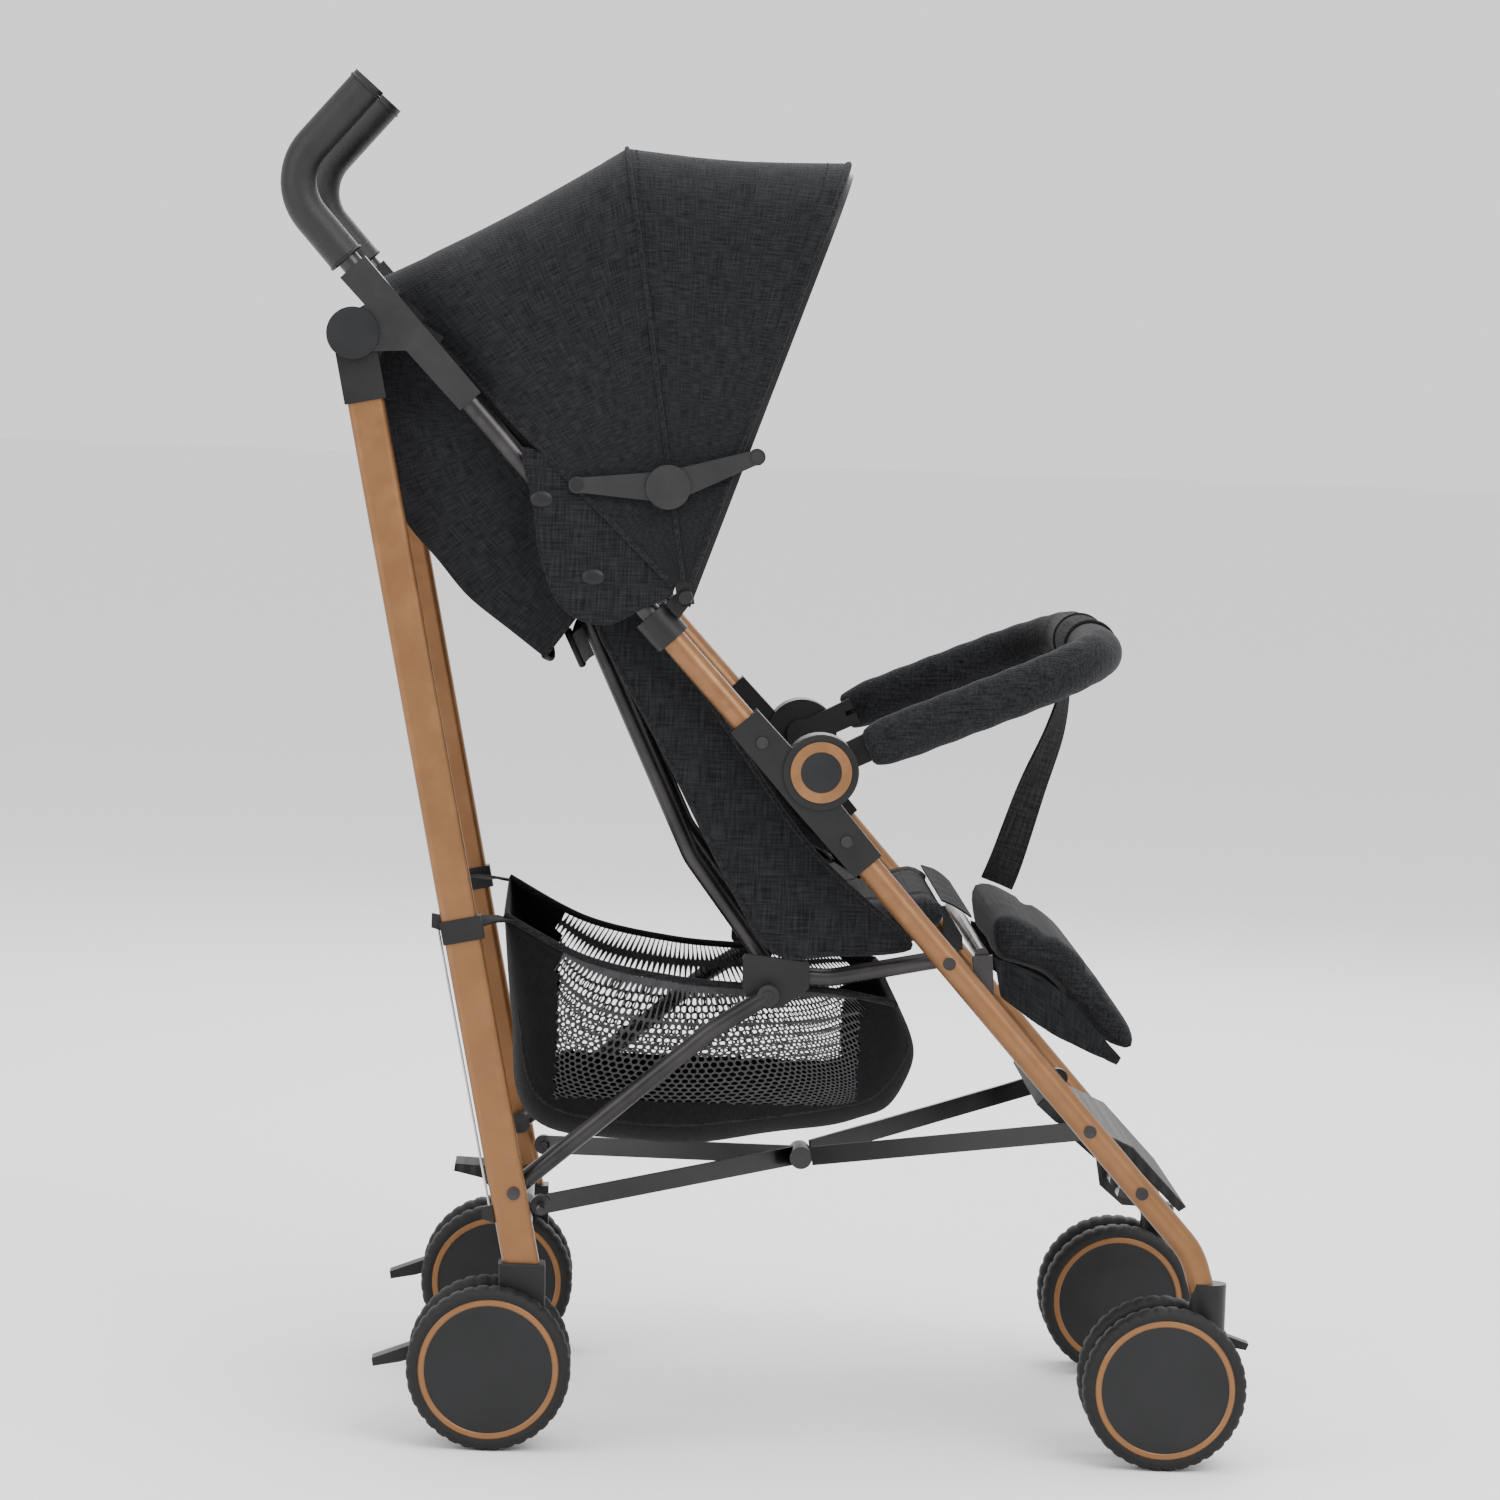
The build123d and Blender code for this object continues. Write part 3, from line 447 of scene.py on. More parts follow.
def net_group():
    """A net with six-sided holes: 1 on the cords and 0 in the holes."""
    tree, wiring, vector, pitch, result = new_group("Hexagonal net", "Pitch", 1036.0, "Cord")
    split = wiring.node("ShaderNodeSeparateXYZ")
    wiring.link(vector, split.inputs[0])
    across = wiring.times(split.outputs["X"], pitch)
    along = wiring.times(split.outputs["Y"], pitch)
    half = wiring.times(across, 0.5)
    rise = wiring.times(along, SQRT3_HALF)
    total = wiring.maths("COSINE", across)
    total = wiring.plus(total, wiring.maths("COSINE", wiring.maths("SUBTRACT", rise, half)))
    total = wiring.plus(total, wiring.maths("COSINE", wiring.plus(rise, half)))
    hole = wiring.node("ShaderNodeMapRange")
    wiring.link(total, hole.inputs["Value"])
    set_inputs(hole, {"From Min": -0.55, "From Max": -0.2, "To Min": 1.0, "To Max": 0.0})
    wiring.link(hole.outputs["Result"], result["Cord"])
    return tree


def grain_group():
    """Fine moulded or leather grain: cells for bump and a soft cloud for colour."""
    tree, wiring, vector, size, result = new_group("Fine grain", "Size", 900.0, "Height", "Cloud")
    cells = wiring.node("ShaderNodeTexVoronoi", feature="DISTANCE_TO_EDGE")
    wiring.link(vector, cells.inputs["Vector"])
    wiring.link(size, cells.inputs["Scale"])
    fine = wiring.noise(vector, size, 2.0)
    edge = wiring.stretch(cells.outputs["Distance"], 0.0, 0.25)
    wiring.link(wiring.plus(wiring.times(edge, 0.7), fine), result["Height"])
    cloud = wiring.noise(vector, 22.0, 4.0)
    wiring.link(wiring.stretch(cloud, 0.3, 0.7), result["Cloud"])
    return tree


def wear_group():
    """Light edge rubbing: bright where the surface turns sharply and the cloud allows."""
    tree, wiring, vector, amount, result = new_group("Edge rub", "Amount", 0.6, "Mask")
    geometry = wiring.node("ShaderNodeNewGeometry")
    sharp = wiring.stretch(geometry.outputs["Pointiness"], 0.53, 0.62)
    cloud = wiring.stretch(wiring.noise(vector, 60.0, 5.0), 0.45, 0.65)
    mask = wiring.times(sharp, cloud)
    wiring.link(wiring.times(mask, amount), result["Mask"])
    return tree


GROUPS = {}
FINISHES = {}


def pattern_group(name):
    """A shared pattern group, made the first time it is asked for."""
    makers = {"linen": linen_group, "net": net_group, "grain": grain_group, "wear": wear_group}
    if name not in GROUPS:
        GROUPS[name] = makers[name]()
    return GROUPS[name]


def new_finish(name):
    """A material with its wiring, surface shader and place."""
    material = bpy.data.materials.new(name)
    material.use_nodes = True
    wiring = Wiring(material.node_tree)
    shader = material.node_tree.nodes["Principled BSDF"]
    place = wiring.node("ShaderNodeTexCoord")
    FINISHES[name] = material
    return wiring, shader, place


def add_pattern(wiring, name, vector, **values):
    """Place a shared group in a material with its own values."""
    made = wiring.node("ShaderNodeGroup", node_tree=pattern_group(name))
    wiring.link(vector, made.inputs["Vector"])
    for key, value in values.items():
        made.inputs[key].default_value = value
    return made.outputs


def blend_colours(wiring, shader, mask, dark, light):
    """Mix two colours by a mask into the shader's base colour."""
    mix = wiring.node("ShaderNodeMix", data_type="RGBA")
    wiring.link(mask, mix.inputs["Factor"])
    set_inputs(mix, {"A": (*dark, 1.0), "B": (*light, 1.0)})
    wiring.link(mix.outputs["Result"], shader.inputs["Base Color"])
    return mix


def add_bump(wiring, shader, height, strength, distance):
    """Raise the surface by a height pattern."""
    bump = wiring.node("ShaderNodeBump")
    set_inputs(bump, {"Strength": strength, "Distance": distance})
    wiring.link(height, bump.inputs["Height"])
    wiring.link(bump.outputs["Normal"], shader.inputs["Normal"])


def cloth_finish(name, dark, light, uv=True, threads=1500.0, sheen=0.06, strength=0.75):
    """Woven cloth with slubs and a soft sheen."""
    wiring, shader, place = new_finish(name)
    vector = place.outputs["UV" if uv else "Object"]
    weave = add_pattern(wiring, "linen", vector, Threads=threads)
    blend_colours(wiring, shader, weave["Fleck"], dark, light)
    add_bump(wiring, shader, weave["Height"], strength, 0.0006)
    set_inputs(shader, {"Roughness": 0.92, "Sheen Weight": sheen, "Sheen Roughness": 0.5})
    set_inputs(shader, {"Specular IOR Level": 0.12})


def painted_finish(name, dark, light, metallic, rough, grain=500.0, rub=0.25):
    """Painted or satin metal with a faint drift in tone, fine texture and rubbed edges."""
    wiring, shader, place = new_finish(name)
    vector = place.outputs["Object"]
    grains = add_pattern(wiring, "grain", vector, Size=grain)
    wear = add_pattern(wiring, "wear", vector, Amount=rub)
    mix = blend_colours(wiring, shader, grains["Cloud"], dark, light)
    top = wiring.node("ShaderNodeMix", data_type="RGBA")
    wiring.link(wear["Mask"], top.inputs["Factor"])
    wiring.link(mix.outputs["Result"], top.inputs["A"])
    top.inputs["B"].default_value = (*[min(1.0, c * 1.7 + 0.012) for c in light], 1.0)
    wiring.link(top.outputs["Result"], shader.inputs["Base Color"])
    add_bump(wiring, shader, grains["Height"], 0.12, 0.0002)
    roughness = wiring.plus(wiring.times(grains["Cloud"], 0.12), rough - 0.06)
    wiring.link(roughness, shader.inputs["Roughness"])
    shader.inputs["Metallic"].default_value = metallic


def grained_finish(name, dark, light, rough, size, strength, coat=0.0):
    """Moulded plastic, rubber or leather with cells in its surface."""
    wiring, shader, place = new_finish(name)
    vector = place.outputs["Object"]
    grains = add_pattern(wiring, "grain", vector, Size=size)
    blend_colours(wiring, shader, grains["Cloud"], dark, light)
    add_bump(wiring, shader, grains["Height"], strength, 0.0004)
    roughness = wiring.plus(wiring.times(grains["Cloud"], 0.15), rough - 0.07)
    wiring.link(roughness, shader.inputs["Roughness"])
    set_inputs(shader, {"Coat Weight": coat, "Coat Roughness": 0.35, "Specular IOR Level": 0.3})


def net_finish(name):
    """Black net that can be seen through, for the basket's sides."""
    wiring, shader, place = new_finish(name)
    net = add_pattern(wiring, "net", place.outputs["UV"], Pitch=1036.0)
    wiring.link(net["Cord"], shader.inputs["Alpha"])
    weave = add_pattern(wiring, "linen", place.outputs["UV"], Threads=2600.0)
    blend_colours(wiring, shader, weave["Fleck"], (0.006, 0.006, 0.007), (0.03, 0.03, 0.033))
    add_bump(wiring, shader, net["Cord"], 0.6, 0.0008)
    shader.inputs["Roughness"].default_value = 0.7


def foot_finish(name):
    """Moulded plastic with raised cross ribs, for a treaded surface."""
    wiring, shader, place = new_finish(name)
    grains = add_pattern(wiring, "grain", place.outputs["Object"], Size=700.0)
    blend_colours(wiring, shader, grains["Cloud"], (0.004, 0.004, 0.0045), (0.009, 0.009, 0.010))
    ribs = wiring.node("ShaderNodeTexWave", wave_type="BANDS", bands_direction="X")
    wiring.link(place.outputs["Object"], ribs.inputs["Vector"])
    ribs.inputs["Scale"].default_value = 32.0
    height = wiring.plus(ribs.outputs["Fac"], wiring.times(grains["Height"], 0.15))
    add_bump(wiring, shader, height, 0.7, 0.0012)
    set_inputs(shader, {"Roughness": 0.5, "Specular IOR Level": 0.3})


# ---- sizes and colours a user may change ----
def colour(label, text, value):
    """A colour property."""
    limits = {"subtype": "COLOR", "size": 3, "min": 0, "max": 1}
    return bpy.props.FloatVectorProperty(name=label, description=text, default=value, **limits)


def distance(label, text, value):
    """A length property."""
    unit = {"unit": "LENGTH", "precision": 4}
    return bpy.props.FloatProperty(name=label, description=text, default=value, **unit)


class StrollerColours(bpy.types.PropertyGroup):
    """Colours of the stroller's finishes."""

    copper_dark: colour("Copper shade", "Darker tone of the copper tubes", (0.190, 0.088, 0.034))
    copper_light: colour("Copper tone", "Lighter tone of the copper tubes", (0.222, 0.104, 0.040))
    charcoal_dark: colour("Charcoal shade", "Dark threads of canopy and seat", (0.0034, 0.0036, 0.0042))
    charcoal_light: colour("Charcoal fleck", "Light threads of canopy and seat", (0.0175, 0.018, 0.020))
    black_dark: colour("Black shade", "Dark threads of black cloth", (0.0022, 0.0022, 0.0026))
    black_light: colour("Black fleck", "Light threads of black cloth", (0.007, 0.007, 0.008))
    floor: colour("Floor", "Colour of the studio floor", (0.93, 0.93, 0.93))


class StrollerSizes(bpy.types.PropertyGroup):
    """Sizes of the stroller's soft pieces."""

    cloth: distance("Cloth", "Thickness of the canopy cloth", 0.0012)
    canopy_half_width: distance("Canopy half width", "From the middle to the canopy's side", 0.2222)
    canopy_corner: distance("Canopy corner", "Radius where the roof meets the side", 0.066)
    binding: distance("Binding", "Radius of the sewn edge bindings", 0.0022)
    bumper: distance("Bumper", "Radius of the bumper bar's padding", 0.0188)


def colours():
    """The colours of this scene."""
    return bpy.context.scene.stroller_colours


def sizes():
    """The sizes of this scene."""
    return bpy.context.scene.stroller_sizes


# ---- finishes ----
def make_finishes():
    """Build every material and give each frame node its own."""
    tone = colours()
    charcoal = (tone.charcoal_dark, tone.charcoal_light)
    black = (tone.black_dark, tone.black_light)
    cloth_finish("Charcoal linen", *charcoal)
    cloth_finish("Charcoal padding", *charcoal, uv=False)
    cloth_finish("Black cloth", *black, threads=3600.0, sheen=0.04)
    cloth_finish("Black padding", *black, uv=False, threads=3600.0, sheen=0.04)
    web = ((0.004, 0.004, 0.004), (0.02, 0.02, 0.021))
    cloth_finish("Black webbing", *web, threads=1500.0, sheen=0.05, strength=0.9)
    thread = ((0.004, 0.004, 0.0045), (0.018, 0.018, 0.02))
    cloth_finish("Sewn binding", *thread, uv=False, threads=3000.0)
    net_finish("Basket net")
    painted_finish("Copper tube", tone.copper_dark, tone.copper_light, 0.55, 0.36, rub=0.25)
    painted_finish("Gunmetal tube", (0.022, 0.021, 0.022), (0.045, 0.042, 0.043), 0.75, 0.30)
    painted_finish("Black enamel", (0.0035, 0.0035, 0.004), (0.006, 0.006, 0.0068), 0.0, 0.34)
    painted_finish("Bare steel", (0.30, 0.30, 0.31), (0.46, 0.46, 0.47), 0.9, 0.3)
    grained_finish("Black plastic", (0.0035, 0.0035, 0.004), (0.008, 0.008, 0.009), 0.42, 1100.0, 0.14)
    grained_finish("Satin disc", (0.005, 0.0053, 0.006), (0.0095, 0.0098, 0.011), 0.38, 1600.0, 0.10)
    leather = ((0.0045, 0.0045, 0.005), (0.011, 0.011, 0.012))
    grained_finish("Grip leather", *leather, 0.46, 620.0, 0.45, coat=0.12)
    grained_finish("Tyre rubber", (0.0035, 0.0035, 0.0035), (0.009, 0.009, 0.009), 0.62, 800.0, 0.30)
    foot_finish("Ribbed plastic")
    finish_of = {
        "Copper tube": ("front_legs", "upper_links", "rear_legs", "hub_rings"),
        "Gunmetal tube": (
            "front_rivets", "rear_rivets", "upper_tubes", "seat_rails", "struts", "back_tube",
            "seat_rod", "foot_bar", "rear_cross_bar",
        ),
        "Black enamel": ("rear_brace", "front_brace", "stay_rear_arms", "stay_front_arms", "channels"),
        "Bare steel": ("pull_cords",),
        "Satin disc": ("hub_caps", "fold_pins"),
        "Ribbed plastic": ("footrest", "fold_pedal"),
        "Grip leather": ("grips",),
    }
    by_node = {node: name for name, nodes in finish_of.items() for node in nodes}
    for node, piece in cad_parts.items():
        material = FINISHES[by_node.get(node, "Black plastic")]
        piece.data.materials.clear()
        piece.data.materials.append(material)
        if len(piece.data.polygons) > 0:
            pick(piece)
            bpy.ops.object.shade_smooth_by_angle(angle=math.radians(32))


# ---- canopy ----
BOW_TOPS = (Vector((-0.3080, 0, 0.8930)), Vector((-0.1192, 0, 1.0)), Vector((0.0519, 0, 0.9950)))


def bow_angle(point):
    """Angle of a point about the canopy pivot, in side view."""
    return math.atan2(point.z - CANOPY_PIVOT.z, point.x - CANOPY_PIVOT.x)


def roof_reach(angle, panel):
    """How far the roof lies from the pivot: the stretched cloth sinks a little between two bows."""
    first, second = BOW_TOPS[panel], BOW_TOPS[panel + 1]
    start, end = bow_angle(first), bow_angle(second)
    share = (angle - start) / (end - start)
    chord = second - first
    ray = Vector((math.cos(angle), 0, math.sin(angle)))
    offset = first - CANOPY_PIVOT
    reach = (offset.x * chord.z - offset.z * chord.x) / (ray.x * chord.z - ray.z * chord.x)
    return reach - ROOF_SINK * math.sin(math.pi * share)


def canopy_point(angle, panel, across, lift=0.0):
    """A point of the canopy cloth; across runs from the left hem over the roof to the right hem."""
    size = sizes()
    reach = roof_reach(angle, panel) + lift
    corner = size.canopy_corner
    side = 1.0 if across < 0.5 else -1.0
    share = 1.0 - abs(across - 0.5) * 2.0
    wide = size.canopy_half_width + lift
    upright = reach - corner - HEM_START
    arc = math.pi * corner / 2
    run = share * (upright + arc + wide - corner)
    if run < upright:
        height, out = HEM_START + run, wide
    elif run < upright + arc:
        turn = (run - upright) / corner
        height = reach - corner + corner * math.sin(turn)
        out = wide - corner + corner * math.cos(turn)
    else:
        height, out = reach, wide - corner - (run - upright - arc)
    rear = bow_angle(BOW_TOPS[0])
    near_rear = min(max((angle - rear + TUCK_ANGLE) / TUCK_ANGLE, 0.0), 1.0)
    near_top = min(max((height - TUCK_HEIGHT) / TUCK_HEIGHT, 0.0), 1.0)
    tuck = near_rear * near_rear * (3 - 2 * near_rear) * near_top * near_top * (3 - 2 * near_top)
    out -= TUCK_DEPTH * tuck * min(1.0, out / wide * 1.05)
    first, second = bow_angle(BOW_TOPS[panel]), bow_angle(BOW_TOPS[panel + 1])
    middle = math.sin(math.pi * (angle - first) / (second - first))
    hollow = HOLLOW_DEPTH * middle * math.sin(math.pi * min(share * 1.15, 1.0)) ** 2
    ripple = RIPPLE_DEPTH * middle * math.sin(38 * height + 6 * panel) * math.sin(9 * angle)
    if out > wide - corner - 0.001:
        out -= hollow - ripple
    else:
        height -= hollow * 0.6 - ripple
    x = CANOPY_PIVOT.x + height * math.cos(angle)
    return Vector((x, side * out, CANOPY_PIVOT.z + height * math.sin(angle)))


def blend_about_pivot(piece, first_angle, second_angle):
    """Bend cloth between two bows by the angle of each point about the canopy pivot."""
    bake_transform(piece)
    for vertex in piece.data.vertices:
        share = (bow_angle(vertex.co) - first_angle) / (second_angle - first_angle)


def make_canopy():
    """Two curved cloth panels, their seam, bindings and front hem."""
    size = sizes()
    names = ("canopy_cloth_rear", "canopy_cloth_front")
    nodes = ("canopy_rear_panel", "canopy_front_panel")
    for panel in (0, 1):
        first, second = bow_angle(BOW_TOPS[panel]), bow_angle(BOW_TOPS[panel + 1])

        def place(u, v, panel=panel, first=first, second=second):
            return canopy_point(first + (second - first) * v, panel, u)

        piece = cloth_grid(120, 28, place, (1.15, 0.22 if panel else 0.24))
        thicken(piece, size.cloth)
        finish_piece(piece, names[panel], None, "Charcoal linen", 60)
        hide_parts(nodes[panel])
        blend_about_pivot(piece, first, second)
    trims = (
        ("canopy_seam", bow_angle(BOW_TOPS[1]), 0, "canopy_mid", size.binding * 0.8, 0.0009),
        ("canopy_front_hem", bow_angle(BOW_TOPS[2]), 1, "canopy_front", size.binding, 0.0),
        ("canopy_rear_hem", bow_angle(BOW_TOPS[0]), 0, "front_frame", size.binding, 0.0),
    )
    for name, angle, panel, body, radius, lift in trims:
        points = [canopy_point(angle, panel, step / 90, lift) for step in range(91)]
        bind(name, body, points, radius)
    for name, angle, panel, body in (
        ("canopy_front_stitching", bow_angle(BOW_TOPS[2]) + 0.045, 1, "canopy_front"),
        ("canopy_seam_stitching", bow_angle(BOW_TOPS[1]) - 0.02, 1, "canopy_mid"),
    ):
        stitches = []
        points = [canopy_point(angle, panel, step / 260, 0.0008) for step in range(8, 253)]
        for start in range(0, len(points) - 1, 2):
            stitches.append(line_tube(points[start : start + 2], 0.00035, sides=1))
        piece = join_pieces(stitches)
        finish_piece(piece, name, body, "Sewn binding")


def flat_panel(outline, y, thickness):
    """A cloth panel cut to a side-view outline, with its wall and a UV map in metres."""
    piece = filled_outline(outline, y)
    bpy.ops.mesh.quads_convert_to_tris()
    bpy.ops.mesh.subdivide(number_cuts=5, smoothness=0.0)
    bpy.ops.object.mode_set(mode="OBJECT")
    layer = piece.data.uv_layers.active or piece.data.uv_layers.new(name="UVMap")
    for corner in piece.data.loops:
        co = piece.data.vertices[corner.vertex_index].co
        layer.data[corner.index].uv = (co.x, co.z)
    thicken(piece, thickness)
    return piece


def smooth_outline(points, steps=4):
    """Round a side-view outline by running a smooth line through its points."""
    count = len(points)
    result = []
    for index in range(count):
        four = [Vector((*points[(index + shift) % count], 0)) for shift in (-1, 0, 1, 2)]
        for step in range(steps):
            value = smooth_between(*four, step / steps)
            result.append((value.x, value.y))
    return result


def button(x, z, y, radius, height, squash_z=1.0):
    """A low domed press stud or patch lying in the side plane, facing away from the middle."""
    side = 1.0 if y > 0 else -1.0
    shares = ((0, 0), (1, 0), (1, 0.35), (0.8, 0.9), (0.45, 1), (0, 1))
    outline = [(radius * out, height * up) for out, up in shares]
    piece = turned_ring(outline, Vector((0, 0, 0)), 32, side=side)
    piece.data.transform(Matrix.Diagonal((1, 1, squash_z, 1)))
    piece.data.transform(Matrix.Translation((x, y, z)))
    return piece


def make_sleeves():
    """Cloth sleeves over the side tubes below the canopy, with their patches and studs."""
    outline = smooth_outline(
        [
            (-0.190, 0.770), (-0.181, 0.725), (-0.174, 0.685), (-0.156, 0.648), (-0.125, 0.637),
            (-0.097, 0.650), (-0.072, 0.668), (-0.110, 0.705), (-0.150, 0.745),
        ]
    )
    for name, side in SIDES:
        cloth = flat_panel(outline, side * SLEEVE_Y, 0.0008)
        finish_piece(cloth, "tube_sleeve_" + name, "front_frame", "Charcoal linen")
        points = [(x, side * 0.2208, z) for x, z in outline[:26]]
        bind("sleeve_binding_" + name, "front_frame", points, 0.0008)
        for number, (x, z) in enumerate(((-0.1755, 0.731), (-0.134, 0.673))):
            stud = button(x, z, side * 0.2211, 0.0085, 0.0018, 0.7)
            label = f"sleeve_patch_{name}_{number}"
            finish_piece(stud, label, "front_frame", "Black plastic")
        stud = button(CANOPY_PIVOT.x, CANOPY_PIVOT.z, side * 0.2262, 0.0062, 0.003)
        finish_piece(stud, "pivot_stud_" + name, "front_frame", "Satin disc")


def make_curtain():
    """The cloth that hangs behind the seat from the canopy, with its side flaps and hem."""
    back = vectors(
        (-0.289, 0, 0.884), (-0.303, 0, 0.822), (-0.284, 0, 0.722), (-0.231, 0, 0.656),
        (-0.170, 0, 0.609),
    )
    front = vectors(
        (-0.268, 0, 0.842), (-0.240, 0, 0.812), (-0.200, 0, 0.765), (-0.160, 0, 0.716),
        (-0.128, 0, 0.668),
    )

    def place(u, v):
        rear, fore = route_point(back, v), route_point(front, v)
        fold = 0.0022 * math.sin(26 * v + 5 * u) * math.sin(math.pi * v)
        if u < 0.25 or u > 0.75:
            side = 1.0 if u < 0.25 else -1.0
            share = (u if u < 0.25 else 1 - u) / 0.25
            point = fore.lerp(rear, share)
            point.y = side * (0.1895 - 0.011 * share + fold)
            return point
        across = (u - 0.25) / 0.5
        point = rear.copy()
        point.y = 0.1785 - 0.357 * across
        point.x += 0.006 * math.sin(math.pi * across) + fold
        point.z -= 0.010 * math.sin(math.pi * across) * v
        return point

    piece = cloth_grid(96, 40, place, (0.62, 0.34))
    thicken(piece, sizes().cloth)
    finish_piece(piece, "curtain_cloth", "front_frame", "Charcoal linen", 60)
    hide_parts("back_curtain")
    points = [place(step / 80, 1.0) for step in range(81)]
    bind("curtain_hem", "front_frame", points, sizes().binding)


# ---- seat, wings, leg rest ----
def pad_from_outline(outline, half_width, cap):
    """A pad: a side-view outline drawn out across the stroller, its edges rounded, then puffed."""
    piece = filled_outline(outline, -half_width)
    bpy.ops.mesh.extrude_region_move(TRANSFORM_OT_translate={"value": (0, 2 * half_width, 0)})
    bpy.ops.mesh.select_all(action="SELECT")
    bpy.ops.mesh.normals_make_consistent(inside=False)
    bpy.ops.object.mode_set(mode="OBJECT")
    round_edges(piece, 0.006, 3, sharp_only=True)
    puff(piece, cap)
    return piece


def press_line(piece, on_face, away_from, reach, depth, direction):
    """Press a sewn channel into a pad's face; away_from(point) is the distance from the seam."""
    for vertex in piece.data.vertices:
        away = away_from(vertex.co)
        if on_face(vertex.co) and abs(away) < reach:
            vertex.co += direction * (depth * (0.5 + 0.5 * math.cos(math.pi * away / reach)))


def make_back_pad():
    """The padded backrest with its sewn channels and side piping."""
    outline = smooth_outline(
        [
            (0.040, 0.402), (-0.024, 0.470), (-0.085, 0.592), (-0.141, 0.712), (-0.147, 0.727),
            (-0.134, 0.731), (-0.124, 0.721), (-0.066, 0.602), (-0.010, 0.484), (0.052, 0.418),
        ],
        3,
    )
    piece = pad_from_outline(outline, 0.146, 0.007)
    normal = Vector(RECLINE_FACE)
    run = Vector(RECLINE_RUN)
    start = Vector((0.058, 0, 0.416))

    def on_front(point):
        return (point - start).dot(normal) > -0.020

    for height in (0.085, 0.165, 0.245):
        channel = lambda p, h=height: (p - start).dot(run) - h
        press_line(piece, on_front, channel, 0.008, -0.0045, normal)
    for across in (-0.072, 0.072):
        press_line(piece, on_front, lambda p, a=across: p.y - a, 0.007, -0.004, normal)
    finish_piece(piece, "back_cushion", "backrest", "Charcoal padding", 80)
    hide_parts("back_pad")
    for name, side in SIDES:
        points = [Vector((p[0], side * 0.150, p[1])) for p in outline[24:] + outline[:2]]
        bind("back_piping_" + name, "backrest", points, 0.0028)


def make_seat_pad():
    """The seat cushion, crowned, with sewn channels and a front lip."""
    outline = smooth_outline(
        [
            (0.048, 0.394), (0.063, 0.388), (0.110, 0.393), (0.144, 0.405), (0.154, 0.419),
            (0.148, 0.427), (0.120, 0.419), (0.064, 0.411),
        ],
        3,
    )
    piece = pad_from_outline(outline, 0.153, 0.006)
    for channel in (lambda p: p.x - 0.112, lambda p: abs(p.y) - 0.095):
        press_line(piece, lambda p: p.z > 0.405, channel, 0.008, -0.004, Vector((0, 0, 1)))
    finish_piece(piece, "seat_cushion", "seat_frame", "Charcoal padding", 80)
    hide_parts("seat_pad")


def make_seat_flaps():
    """The cloth that joins the seat to the leg rest in front, and closes the gap at the back."""
    front = vectors((0.146, 0, 0.4270), (0.155, 0, 0.4245), (0.163, 0, 0.4200), (0.170, 0, 0.4145))
    back = vectors((0.020, 0, 0.4180), (0.030, 0, 0.4010), (0.044, 0, 0.3925), (0.060, 0, 0.3860))
    flaps = (("seat_front_flap", "seat_frame", front), ("seat_back_flap", "backrest", back))
    for name, body, route in flaps:

        def place(u, v, route=route):
            point = route_point(route, v)
            point.y = 0.145 - 0.290 * u
            point.z += 0.0012 * math.sin(30 * u) * math.sin(math.pi * v)
            return point

        piece = cloth_grid(40, 10, place, (0.29, 0.05))
        thicken(piece, 0.0014)
        finish_piece(piece, name, body, "Charcoal linen", 60)


def wing_belly(x, z):
    """How far a side panel bulges outwards: one broad belly and a fine ripple."""
    return 0.0035 * math.sin(22 * x + 3) * math.sin(14 * z) + 0.0008 * math.sin(95 * x + 40 * z)


def make_wings():
    """The seat's side panels, bellied a little, with bound edges."""
    outline = [
        (-0.134, 0.645), (-0.112, 0.672), (-0.096, 0.655), (-0.028, 0.560), (0.030, 0.480),
        (0.070, 0.440), (0.118, 0.400), (0.110, 0.390), (0.060, 0.386), (0.016, 0.386),
        (-0.020, 0.438), (-0.075, 0.540),
    ]
    line = smooth_outline(outline, 4)
    for name, side in SIDES:
        cloth = flat_panel(line, side * WING_Y, 0.0013)
        for vertex in cloth.data.vertices:
            vertex.co.y += side * wing_belly(vertex.co.x, vertex.co.z)
        finish_piece(cloth, "wing_" + name, None, "Charcoal linen", 60)
        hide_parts("side_wings")
        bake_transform(cloth)
        points = [(x, side * (WING_Y + wing_belly(x, z)), z) for x, z in line]
        edge = bind("wing_binding_" + name, None, points, 0.0022, closed=True)
        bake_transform(edge)


